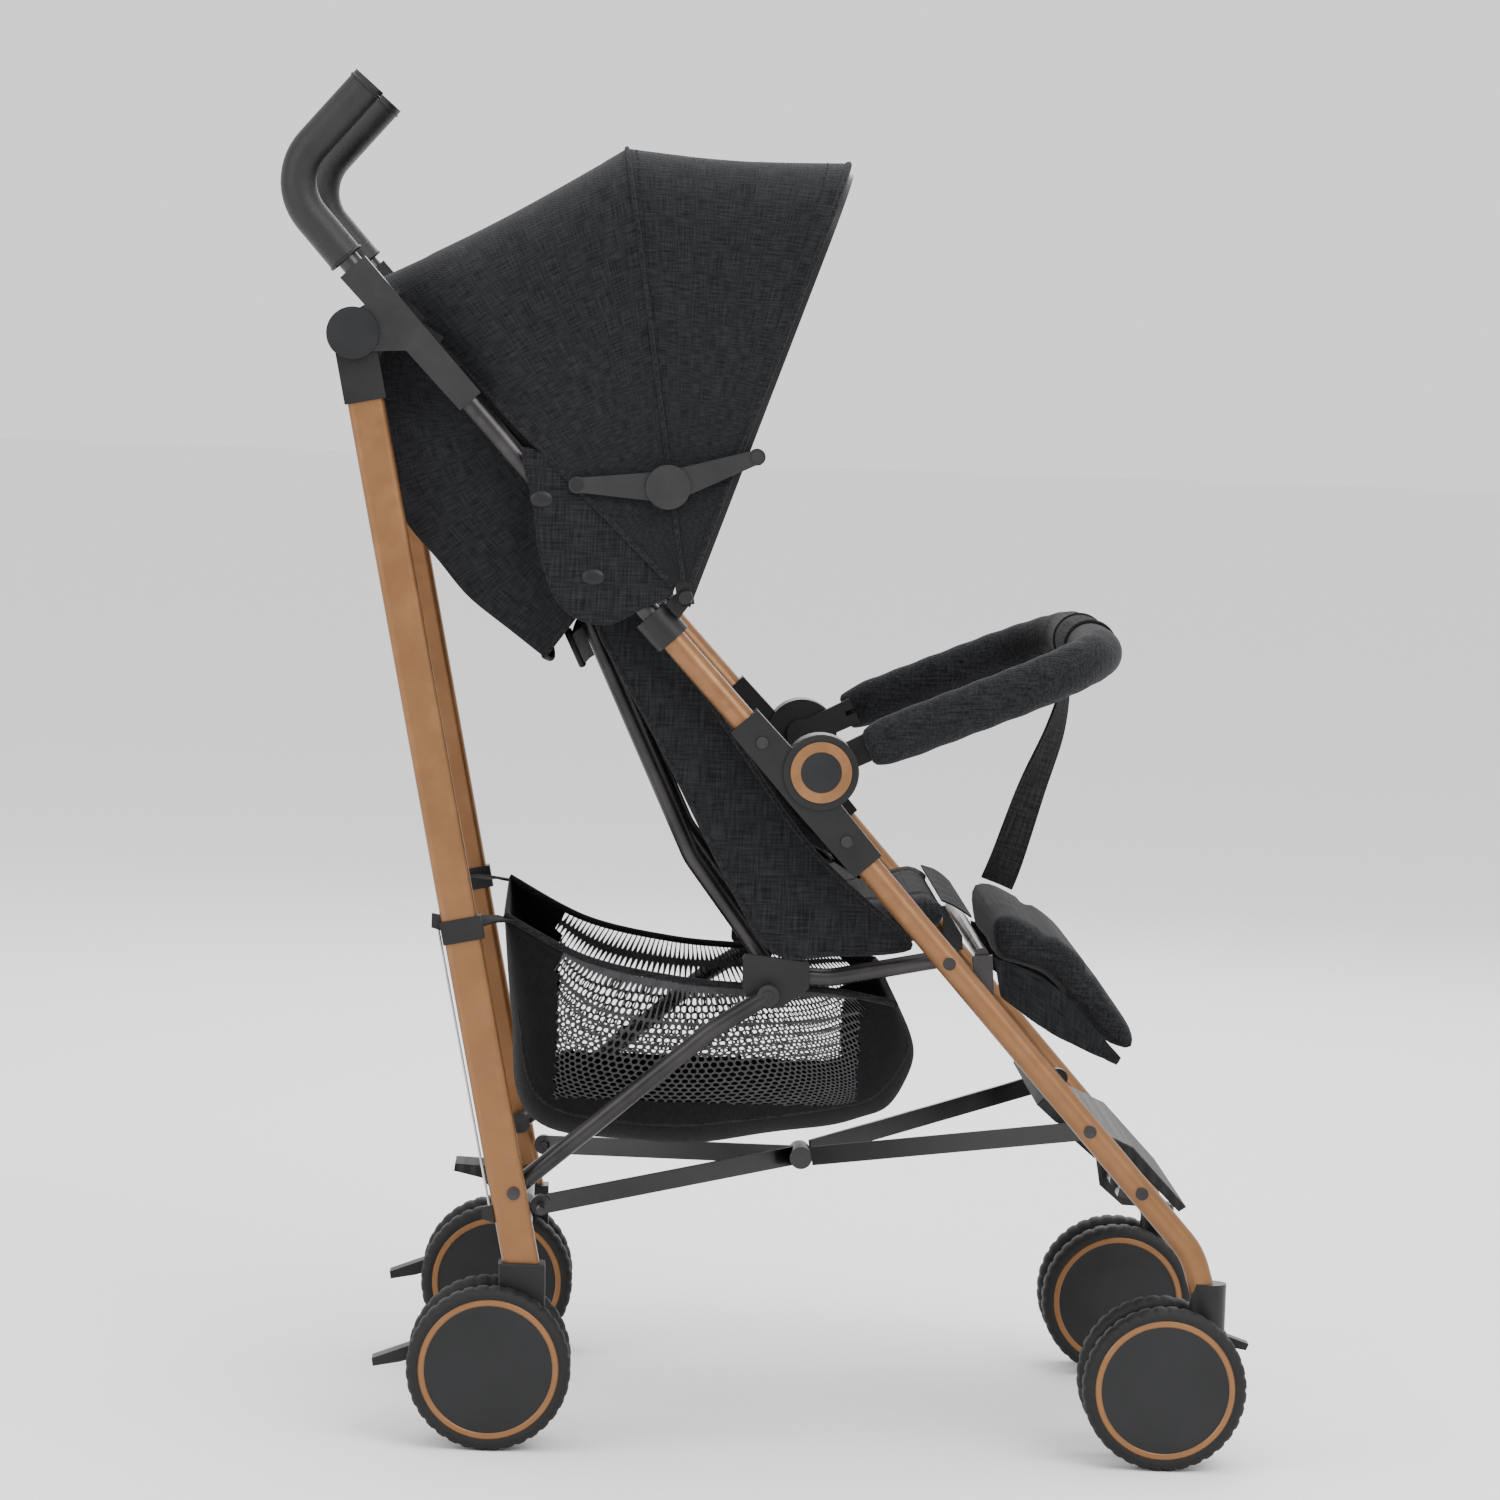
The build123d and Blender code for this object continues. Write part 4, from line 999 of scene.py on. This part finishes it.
def make_leg_rest():
    """The padded leg rest and the cloth skirt that hangs under it."""
    outline = smooth_outline(
        [
            (0.186, 0.418), (0.220, 0.404), (0.251, 0.386), (0.280, 0.350), (0.304, 0.316),
            (0.297, 0.309), (0.266, 0.337), (0.237, 0.369), (0.210, 0.380), (0.189, 0.388),
        ],
        3,
    )
    piece = pad_from_outline(outline, 0.142, 0.004)
    direction, run = Vector((0.62, 0, 0.78)), Vector((0.78, 0, -0.62))
    origin = Vector((0.186, 0, 0.418))

    def on_top(point):
        return (point - origin).dot(direction) > -0.012

    for height in (0.045, 0.09):
        channel = lambda p, h=height: (p - origin).dot(run) - h
        press_line(piece, on_top, channel, 0.007, -0.003, direction)
    finish_piece(piece, "leg_rest_cushion", "leg_rest", "Charcoal padding", 80)
    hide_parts("leg_rest_pad")
    top = vectors((0.189, 0, 0.383), (0.236, 0, 0.363), (0.292, 0, 0.307))
    low = vectors((0.196, 0, 0.352), (0.236, 0, 0.325), (0.288, 0, 0.302))
    for name, side in SIDES:

        def place(u, v, side=side):
            point = route_point(top, u).lerp(route_point(low, u), v)
            point.y = side * (0.140 + 0.002 * math.sin(30 * u + 4 * v))
            return point

        skirt = cloth_grid(30, 10, place, (0.14, 0.04))
        thicken(skirt, 0.0012)
        finish_piece(skirt, "leg_rest_skirt_" + name, "leg_rest", "Charcoal linen", 60)


# ---- bumper ----
def bumper_route():
    """Points round the bumper bar from the left hub to the right one, with rounded corners."""
    lower, upper = Vector((0.0810, 0.2030, 0.5480)), Vector((0.2620, 0.2030, 0.6240))
    run = (upper - lower).normalized()
    corner = 0.080
    points = [lower.lerp(upper - run * corner, step / 14) for step in range(15)]
    middle = upper - run * corner
    middle.y -= corner
    for step in range(1, 17):
        turn = math.pi / 2 * step / 16
        out = Vector((0, corner * math.cos(turn), 0))
        points.append(middle + run * (corner * math.sin(turn)) + out)
    for step in range(1, 12):
        points.append(Vector((upper.x, (upper.y - corner) * (1 - step / 12), upper.z)))
    points.append(Vector((upper.x, 0.0, upper.z)))
    return points + [Vector((p.x, -p.y, p.z)) for p in reversed(points[:-1])]


def make_bumper():
    """The padded bumper bar with its seam and narrow ends, and the wrap in its middle."""
    route = bumper_route()
    radius = sizes().bumper
    count = len(route) - 1

    def wall(share, angle):
        end = min(share, 1 - share) * 22
        rounded = math.sqrt(max(0.0, 1 - max(0.0, 1 - end) ** 2))
        seam = 0.0009 * math.exp(-((math.remainder(angle - 2.2, 2 * math.pi)) * 14) ** 2)
        wrinkle = 0.0003 * math.sin(160 * share + 2 * math.cos(angle)) * math.cos(angle)
        return radius * (0.62 + 0.38 * rounded) - seam + wrinkle

    piece = skin_along(route, wall, 36, 3 * count, Vector((0, 0, 1)), (0.12, 0.75))
    finish_piece(piece, "bumper_cover", "bumper", "Charcoal padding", 60)
    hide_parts("bumper_pad")
    front, height = BUMPER_FRONT
    middle = [Vector((front, WRAP_HALF - 2 * WRAP_HALF * step / 12, height)) for step in range(13)]

    def wrap_wall(share, _angle):
        return radius + 0.0012 + 0.0007 * math.sin(math.pi * share)

    wrap = skin_along(middle, wrap_wall, 36, 40, Vector((0, 0, 1)))
    finish_piece(wrap, "bumper_wrap", "bumper", "Black padding", 60)
    rings = []
    reach = radius + 0.0014
    for y in (WRAP_HALF, -WRAP_HALF):
        turns = [2 * math.pi * n / 40 for n in range(40)]
        ring = [Vector((front + reach * math.cos(a), y, height + reach * math.sin(a))) for a in turns]
        rings.append(line_tube(ring, 0.0014, closed=True))
    finish_piece(join_pieces(rings), "bumper_wrap_binding", "bumper", "Sewn binding")


def webbing(route, width, thickness, steps, twist=0.0, face=Vector((1, 0, 0)), size=1.0):
    """A flat strap along a smooth route; its face starts square to face and may twist."""

    def place(u, v):
        centre = route_point(route, v)
        ahead = route_point(route, min(v + 0.01, 1.0)) - route_point(route, max(v - 0.01, 0.0))
        ahead.normalize()
        across = ahead.cross(face).normalized()
        across = Matrix.Rotation(twist * v, 3, ahead) @ across
        return centre + across * ((u - 0.5) * width)

    piece = cloth_grid(10, steps, place, (width, size))
    thicken(piece, thickness)
    return piece


def make_crotch_strap():
    """The webbing from the bumper's wrap down to the seat."""
    route = vectors(
        (0.250, 0, 0.611), (0.2475, 0, 0.585), (0.240, 0, 0.550), (0.224, 0, 0.505),
        (0.207, 0, 0.450), (0.199, 0, 0.428),
    )
    piece = webbing(route, 0.027, 0.0022, 60, twist=1.7, size=0.2)
    finish_piece(piece, "crotch_webbing", "bumper", "Black webbing", 60)
    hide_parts("crotch_strap")
    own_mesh(piece)


# ---- harness and small straps ----
def make_harness():
    """Shoulder and lap belts lying on the seat, with a buckle."""
    strands = []
    for side in (1, -1):
        shoulder = sided(
            side, (-0.098, 0.042, 0.700), (-0.062, 0.046, 0.625), (-0.020, 0.048, 0.545),
            (0.026, 0.040, 0.470), (0.066, 0.020, 0.432),
        )
        strands.append(webbing(shoulder, 0.024, 0.0018, 40, face=Vector(RECLINE_FACE), size=0.3))
        lap = sided(
            side, (0.046, 0.136, 0.436), (0.062, 0.094, 0.440), (0.072, 0.050, 0.438),
            (0.076, 0.014, 0.436),
        )
        strands.append(webbing(lap, 0.022, 0.0018, 30, face=Vector((0.5, 0, 0.86)), size=0.15))
    piece = join_pieces(strands)
    finish_piece(piece, "harness_belts", "backrest", "Black webbing", 60)
    clear_selection()
    place = (0.079, 0, 0.441)
    bpy.ops.mesh.primitive_cylinder_add(vertices=32, radius=0.018, depth=0.011, location=place)
    buckle = bpy.context.object
    round_edges(buckle, 0.003, 4)
    lean = Matrix.Rotation(math.radians(32), 4, "Y")
    buckle.data.transform(Matrix.Diagonal((0.8, 1.0, 1.0, 1)) @ lean)
    place_in_mesh(buckle)
    finish_piece(buckle, "harness_buckle", "backrest", "Black plastic")


# ---- basket ----
BASKET_UNDER = vectors(
    (-0.194, 0, 0.404), (-0.186, 0, 0.320), (-0.168, 0, 0.240), (-0.060, 0, 0.224),
    (0.060, 0, 0.241), (0.112, 0, 0.258), (0.132, 0, 0.302), (0.112, 0, 0.345),
)
BASKET_RIM = vectors(
    (-0.194, 0, 0.404), (-0.130, 0, 0.372), (-0.060, 0, 0.358), (0.0, 0, 0.354), (0.060, 0, 0.353),
    (0.112, 0, 0.345),
)


def basket_point(across, along, lift=0.0):
    """A point of the sagging bag; across runs from the left rim under the bag to the right rim."""
    turn = math.pi * across
    depth = max(0.0, math.sin(turn)) ** 0.42
    wide = 0.1545 - 0.006 * math.sin(math.pi * along)
    side = math.copysign(abs(math.cos(turn)) ** 0.30, math.cos(turn))
    rim, under = route_point(BASKET_RIM, along), route_point(BASKET_UNDER, along)
    point = rim.lerp(under, depth)
    point.y = side * (wide + lift)
    sag = 0.0035 * math.sin(math.pi * along) * math.sin(turn)
    ripple = 0.0011 * math.sin(46 * along + 5 * across) * math.sin(turn) ** 2
    point.z += ripple - sag * 0.5
    return point


def make_basket():
    """The storage bag: net sides, cloth ends and base, a bound rim and its hanging loops."""
    piece = cloth_grid(110, 90, basket_point, (0.58, 0.66))
    thicken(piece, 0.001)
    finish_piece(piece, "basket_bag", None, "Black cloth", 60)
    piece.data.materials.append(FINISHES["Basket net"])
    for face in piece.data.polygons:
        centre = face.center
        beside = abs(centre.y) > NET_FROM_Y and centre.z > NET_FROM_Z
        if beside and NET_X[0] < centre.x < NET_X[1]:
            face.material_index = 1
    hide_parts("basket")
    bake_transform(piece)
    lift = Vector((0, 0, 0.001))
    trims = []
    for end in (0.0, 1.0):
        points = [basket_point(end, step / 60) + lift for step in range(61)]
        trims.append(line_tube(points, 0.0028))
    trims.append(line_tube([basket_point(step / 60, 1.0) for step in range(61)], 0.0028))
    for across in (0.235, 0.765):
        points = [basket_point(across, 0.14 + 0.74 * step / 50) for step in range(51)]
        trims.append(line_tube(points, 0.0014))
    rim = join_pieces(trims)
    finish_piece(rim, "basket_binding", None, "Sewn binding")
    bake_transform(rim)
    for name, side in SIDES:
        route = sided(side, (-0.192, 0.152, 0.402), (-0.208, 0.172, 0.403), (-0.222, 0.191, 0.400))
        loop = webbing(route, 0.018, 0.0018, 16, face=Vector((0.2, 0, 1)), size=0.05)
        finish_piece(loop, "basket_strap_" + name, "rear_frame", "Black webbing", 60)


def make_recline_strap():
    """The webbing behind the backrest that sets its lean, with its slider."""
    route = vectors(
        (-0.118, 0.150, 0.630), (-0.138, 0.100, 0.616), (-0.143, 0.0, 0.606),
        (-0.138, -0.100, 0.616), (-0.118, -0.150, 0.630),
    )
    strap = webbing(route, 0.024, 0.0018, 60, face=Vector(RECLINE_FACE), size=0.32)
    finish_piece(strap, "recline_strap", "backrest", "Black webbing", 60)
    clear_selection()
    bpy.ops.mesh.primitive_cube_add(size=1.0, location=(-0.146, 0, 0.606))
    slider = bpy.context.object
    slider.scale = (0.006, 0.036, 0.032)
    slider.rotation_euler = (0, math.radians(-26), 0)
    place_in_mesh(slider)
    round_edges(slider, 0.0022, 4)
    finish_piece(slider, "recline_slider", "backrest", "Black plastic")


# ---- wheels ----
def mirrored(half):
    """A (radius, along) outline on the other side of the wheel's middle."""
    return [(radius, -along) for radius, along in half]


def make_wheel(end, name, place, side):
    """One wheel: notched tyre, copper band and disc, on its own body."""
    body = f"wheel_{end}_{name}_{place}"
    low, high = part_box(body)
    centre = (Vector(low) + Vector(high)) / 2
    half = [(0.0540, 0.0100), (0.0565, 0.0108), (0.0595, 0.0104), (0.0620, 0.0085), (0.0633, 0.0050)]
    outline = [*mirrored(half), (0.0634, 0.0), *reversed(half), (0.0536, 0.0)]
    tyre = turned_ring(outline, Vector((0, 0, 0)), TYRE_STEPS, side)
    for vertex in tyre.data.vertices:
        co = vertex.co
        radius = math.hypot(co.x, co.z)
        step = round((math.atan2(co.z, co.x) / (2 * math.pi)) * TYRE_STEPS)
        if radius > 0.0590 and step % NOTCH_PITCH < 2:
            share = 0.985 if abs(co.y) > 0.004 else 0.995
            co.x *= share
            co.z *= share
    tyre.data.transform(Matrix.Translation(centre))
    finish_piece(tyre, "tyre_" + body, body, "Tyre rubber")
    half = [(0.0492, 0.0100), (0.0500, 0.0107), (0.0532, 0.0107), (0.0542, 0.0098)]
    band = turned_ring([*mirrored(half), *reversed(half)], centre, 128, side)
    finish_piece(band, "band_" + body, body, "Copper tube")
    half = [(0.0, 0.0100), (0.0200, 0.0099), (0.0420, 0.0096), (0.0465, 0.0092), (0.0494, 0.0094)]
    disc = turned_ring([*mirrored(half), *reversed(half)], centre, 128, side)
    finish_piece(disc, "disc_" + body, body, "Satin disc")
    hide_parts(body)


def make_wheels():
    """Four pairs of wheels."""
    for end in ("rear", "front"):
        for name, side in SIDES:
            for place in ("outer", "inner"):
                make_wheel(end, name, place, side)


def make_grip_trim():
    """End rings of the handle grips."""
    route = vectors(
        (-0.330, 0, 0.908), (-0.358, 0, 0.939), (-0.371, 0, 0.966), (-0.356, 0, 0.996),
        (-0.319, 0, 1.040),
    )
    for name, side in SIDES:
        rings = []
        low, high = route[0].lerp(route[1], 0.02), route[4].lerp(route[3], 1 - 0.985)
        for centre, ahead in ((low, Vector((-0.67, 0, 0.74))), (high, Vector((0.65, 0, 0.76)))):
            centre.y = side * HALF_TRACK
            up = ahead.cross(Vector((0, 1, 0)))
            turns = [2 * math.pi * n / 48 for n in range(48)]
            spokes = [Vector((0, 1, 0)) * math.cos(a) + up * math.sin(a) for a in turns]
            points = [centre + spoke * GRIP_RING for spoke in spokes]
            rings.append(line_tube(points, 0.0014, closed=True))
        ring = join_pieces(rings)
        finish_piece(ring, "grip_rings_" + name, "front_frame", "Black plastic")


# ---- stage ----
def make_stage():
    """Pale floor, soft lights and the camera."""
    clear_selection()
    bpy.ops.mesh.primitive_plane_add(size=60.0, location=(0, 0, 0))
    floor = bpy.context.object
    floor.name = "floor"
    wiring, shader, place = new_finish("Studio floor")
    grains = add_pattern(wiring, "grain", place.outputs["Object"], Size=12.0)
    tone = colours().floor
    blend_colours(wiring, shader, grains["Cloud"], [c * 0.99 for c in tone], list(tone))
    shader.inputs["Roughness"].default_value = 0.85
    floor.data.materials.append(FINISHES["Studio floor"])
    place_in_mesh(floor)
    for name, place, size, power, aim in (
        ("key", (1.6, -2.6, 2.9), 2.2, 95.0, (0, 0, 0.5)),
        ("fill", (-2.6, -2.2, 1.8), 2.4, 50.0, (0, 0, 0.5)),
        ("top", (0.0, 0.4, 3.4), 2.6, 70.0, (0, 0, 0.4)),
        ("back", (0.6, 3.0, 2.2), 2.2, 45.0, (0, 0, 0.5)),
    ):
        clear_selection()
        bpy.ops.object.light_add(type="AREA", location=place)
        light = bpy.context.object
        light.name = name
        light.data.shape = "SQUARE"
        light.data.size = size
        light.data.energy = power
        light.rotation_euler = (Vector(aim) - Vector(place)).to_track_quat("-Z", "Y").to_euler()
    world = bpy.context.scene.world or bpy.data.worlds.new("studio")
    bpy.context.scene.world = world
    world.use_nodes = True
    world.node_tree.nodes["Background"].inputs["Color"].default_value = (1.0, 1.0, 1.0, 1.0)
    world.node_tree.nodes["Background"].inputs["Strength"].default_value = 1.25
    clear_selection()
    bpy.ops.object.camera_add(location=(-0.1435, -4.705, 0.8757))
    camera = bpy.context.object
    camera.name = "camera"
    camera.rotation_euler = [math.radians(a) for a in (85.78, -2.083, -1.554)]
    camera.data.lens = 141.2
    camera.data.sensor_width = 36.0
    camera.data.clip_end = 200.0
    bpy.context.scene.camera = camera


# ---- operators ----
class StrollerOperator:
    """Common part of the stroller's operators."""

    bl_options = {"REGISTER", "UNDO"}
    job = None

    def execute(self, context):
        """Make the piece."""
        type(self).job()
        return {"FINISHED"}


def operator(name, label, text, job):
    """A small operator that makes one group of pieces."""
    fields = {"bl_idname": "stroller." + name, "bl_label": label, "__doc__": text}
    fields["job"] = staticmethod(job)
    return type("STROLLER_OT_" + name, (StrollerOperator, bpy.types.Operator), fields)


JOBS = (
    ("finishes", "Finishes", "Make all finishes and give each part its own", make_finishes),
    ("canopy", "Canopy", "Add the canopy cloth, its seam and bindings", make_canopy),
    ("sleeves", "Tube sleeves", "Add the cloth sleeves and studs below the canopy", make_sleeves),
    ("curtain", "Back curtain", "Add the cloth behind the seat", make_curtain),
    ("back_pad", "Backrest", "Add the padded backrest", make_back_pad),
    ("seat_pad", "Seat", "Add the seat cushion", make_seat_pad),
    ("seat_flaps", "Seat flaps", "Add the cloth round the seat cushion", make_seat_flaps),
    ("wings", "Side panels", "Add the seat's side panels", make_wings),
    ("leg_rest", "Leg rest", "Add the padded leg rest and its skirt", make_leg_rest),
    ("bumper", "Bumper bar", "Add the padded bumper bar and its wrap", make_bumper),
    ("crotch_strap", "Crotch strap", "Add the strap under the bumper", make_crotch_strap),
    ("harness", "Harness", "Add the belts and buckle", make_harness),
    ("recline_strap", "Recline strap", "Add the strap behind the backrest", make_recline_strap),
    ("basket", "Basket", "Add the net basket", make_basket),
    ("wheels", "Wheels", "Add the wheels", make_wheels),
    ("grip_trim", "Grip trim", "Add the grips' end rings", make_grip_trim),
    ("stage", "Studio", "Add the floor, lights and camera", make_stage),
)
OPERATORS = [operator(*row) for row in JOBS]


class STROLLER_PT_panel(bpy.types.Panel):
    """Sidebar panel with the stroller's settings and pieces."""

    bl_label = "Stroller"
    bl_space_type = "VIEW_3D"
    bl_region_type = "UI"
    bl_category = "Stroller"

    def draw(self, context):
        """List the settings and the operators."""
        for group in (context.scene.stroller_sizes, context.scene.stroller_colours):
            for key in group.__annotations__:
                self.layout.prop(group, key)
        for item in OPERATORS:
            self.layout.operator(item.bl_idname)


CLASSES = [StrollerColours, StrollerSizes, *OPERATORS, STROLLER_PT_panel]


def register():
    """Register the settings, operators and panel."""
    for item in CLASSES:
        bpy.utils.register_class(item)
    bpy.types.Scene.stroller_colours = bpy.props.PointerProperty(type=StrollerColours)
    bpy.types.Scene.stroller_sizes = bpy.props.PointerProperty(type=StrollerSizes)


def unregister():
    """Remove them again."""
    del bpy.types.Scene.stroller_sizes
    del bpy.types.Scene.stroller_colours
    for item in reversed(CLASSES):
        bpy.utils.unregister_class(item)


def main():
    """Build the whole stroller and note its size."""
    register()
    for item in OPERATORS:
        getattr(bpy.ops.stroller, item.bl_idname.split(".")[1])()


if __name__ == "__main__":
    main()
